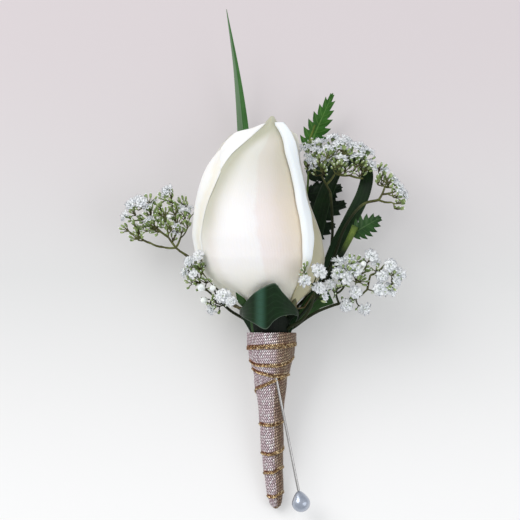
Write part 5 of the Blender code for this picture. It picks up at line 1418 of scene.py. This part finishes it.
# ---------------------------------------------------------------- the pin
# A boutonniere pin: a thin steel shaft pushed up into the wrap, where the ribbon's turns cross, with a
# drop-shaped pearl glued on its end. It is what fastens the flower to a lapel.
PEARL_R = 3.1
pin_entry = Vector((4.7, -16.5, 5.1))
pearl_centre = Vector((12.6, -56.3, 5.6))
pin_way = (pin_entry - pearl_centre).normalized()


def steel_finish():
    """Bright drawn steel, painted dark as shade where it turns away from view."""
    nodes = Finish("Pin steel", 0.16, Metallic=1.0)
    cloud = nodes.mottled(150.0, 0.2)
    drawn = cloud.ramp([(0.3, (0.44, 0.43, 0.42)), (0.7, (0.6, 0.59, 0.58))])
    facing = nodes.value("ShaderNodeLayerWeight", {"Blend": 0.5}, "Facing")
    colour = nodes.tint(facing.between(0.22, 0.62), drawn, (0.04, 0.04, 0.04))
    return nodes.done(colour, cloud.between(0.3, 0.7, 0.14, 0.24))


def pearl_finish():
    """Grey-blue pearl: a soft lustre under a clear coat, painted a little darker towards its outline as shade.
    """
    nodes = Finish("Pearl", 0.26, Coat_Weight=0.8, Coat_Roughness=0.12, Metallic=0.5)
    body = nodes.mottled(220.0, 0.15).ramp([
        (0.3, (0.3, 0.34, 0.42)), (0.5, (0.38, 0.42, 0.5)), (0.7, (0.46, 0.49, 0.55))])
    facing = nodes.value("ShaderNodeLayerWeight", {"Blend": 0.35}, "Facing")
    return nodes.done(nodes.tint(facing.between(0.3, 0.95, 0.0, 0.6), body, (0.2, 0.21, 0.28)))


shaft_points = [pearl_centre + pin_way * (PEARL_R + 1.0), pin_entry + pin_way * 6.0, pin_entry + pin_way * 9.0]
piece("steel_pin", [tube(shaft_points, [0.42, 0.42, 0.05], 16)], steel_finish(), "pin_shaft")


def pearl_body():
    """A round bead drawn out to a short neck where the shaft goes in."""
    rows, sides = 40, 48
    points, faces, maps = [], [], []
    turn = Vector((0, 0, 1)).rotation_difference(pin_way)
    for r in range(rows + 1):
        a = math.pi * r / rows
        height, radius = -math.cos(a) * PEARL_R, math.sin(a) * PEARL_R
        if height > 0:
            share = height / PEARL_R
            height += 1.0 * share ** 4
            radius *= 1 - 0.12 * share
        for s in range(sides):
            b = 2 * math.pi * s / sides
            points.append(pearl_centre + turn @ Vector((radius * math.cos(b), radius * math.sin(b), height)))
            maps.append((s / sides, r / rows))
    for r in range(rows):
        for s in range(sides):
            n = (s + 1) % sides
            faces.append([r * sides + s, r * sides + n, (r + 1) * sides + n, (r + 1) * sides + s])
    return np.array(points), faces, np.array(maps), np.zeros(len(points))


piece("pearl_head", [pearl_body()], pearl_finish(), "pin_pearl_head")


# ---------------------------------------------------------------- table, light and camera
# The flower lies on a softly lit pale table under soft studio light from the upper left, seen from above.
def table_finish():
    """A pale ground, darker and rosier towards the top, that gives a little light of its own."""
    nodes = Finish("Pale table", 0.9, Specular_IOR_Level=0.1, Emission_Strength=0.3)
    colour = nodes.split(nodes.place())[1].between(-0.11, 0.09).ramp([
        (0.0, (0.94, 0.94, 0.94)), (0.5, (0.74, 0.74, 0.74)), (1.0, (0.69, 0.635, 0.655))])
    nodes.feed(nodes.shader.inputs["Emission Color"], colour)
    return nodes.done(nodes.tint(1.0, colour, (0.68, 0.68, 0.68), "MULTIPLY"))


bpy.ops.mesh.primitive_plane_add(size=6.0, location=(0, 0, -0.0002))
table = bpy.context.object
table.name = "table"
table.data.materials.append(table_finish())

scene = bpy.context.scene
scene.view_settings.view_transform = "Standard"
world = bpy.data.worlds.new("Soft room")
world.use_nodes = True
world.node_tree.nodes["Background"].inputs["Color"].default_value = (0.97, 0.98, 1.0, 1.0)
world.node_tree.nodes["Background"].inputs["Strength"].default_value = 0.64
scene.world = world


def softbox(name, place, size, power, colour):
    """A square soft light, aimed at the middle of the flower."""
    data = bpy.data.lights.new(name, "AREA")
    data.size = size
    data.energy = power
    data.color = colour
    made = linked(name, data)
    made.location = place
    made.rotation_euler = (Vector((0.0, 0.0, 0.015)) - Vector(place)).to_track_quat("-Z", "Y").to_euler()
    return made


softbox("key_light", (-0.75, 0.5, 0.85), 0.85, 8.4, (1.0, 0.99, 0.97))
softbox("fill_light", (0.95, -0.35, 0.9), 1.0, 4.8, (0.96, 0.98, 1.0))

VIEW_DISTANCE = 1.4
VIEW_WIDTH = 0.1733
camera_data = bpy.data.cameras.new("camera")
camera_data.sensor_width = 36.0
camera_data.lens = 36.0 * VIEW_DISTANCE / VIEW_WIDTH
camera_data.clip_start = 0.01
camera = linked("camera", camera_data)
camera.location = Vector(laid([-1.0, 24.33, VIEW_DISTANCE / MM]))
camera.rotation_euler = (LEAN, 0.0, 0.0)
scene.camera = camera
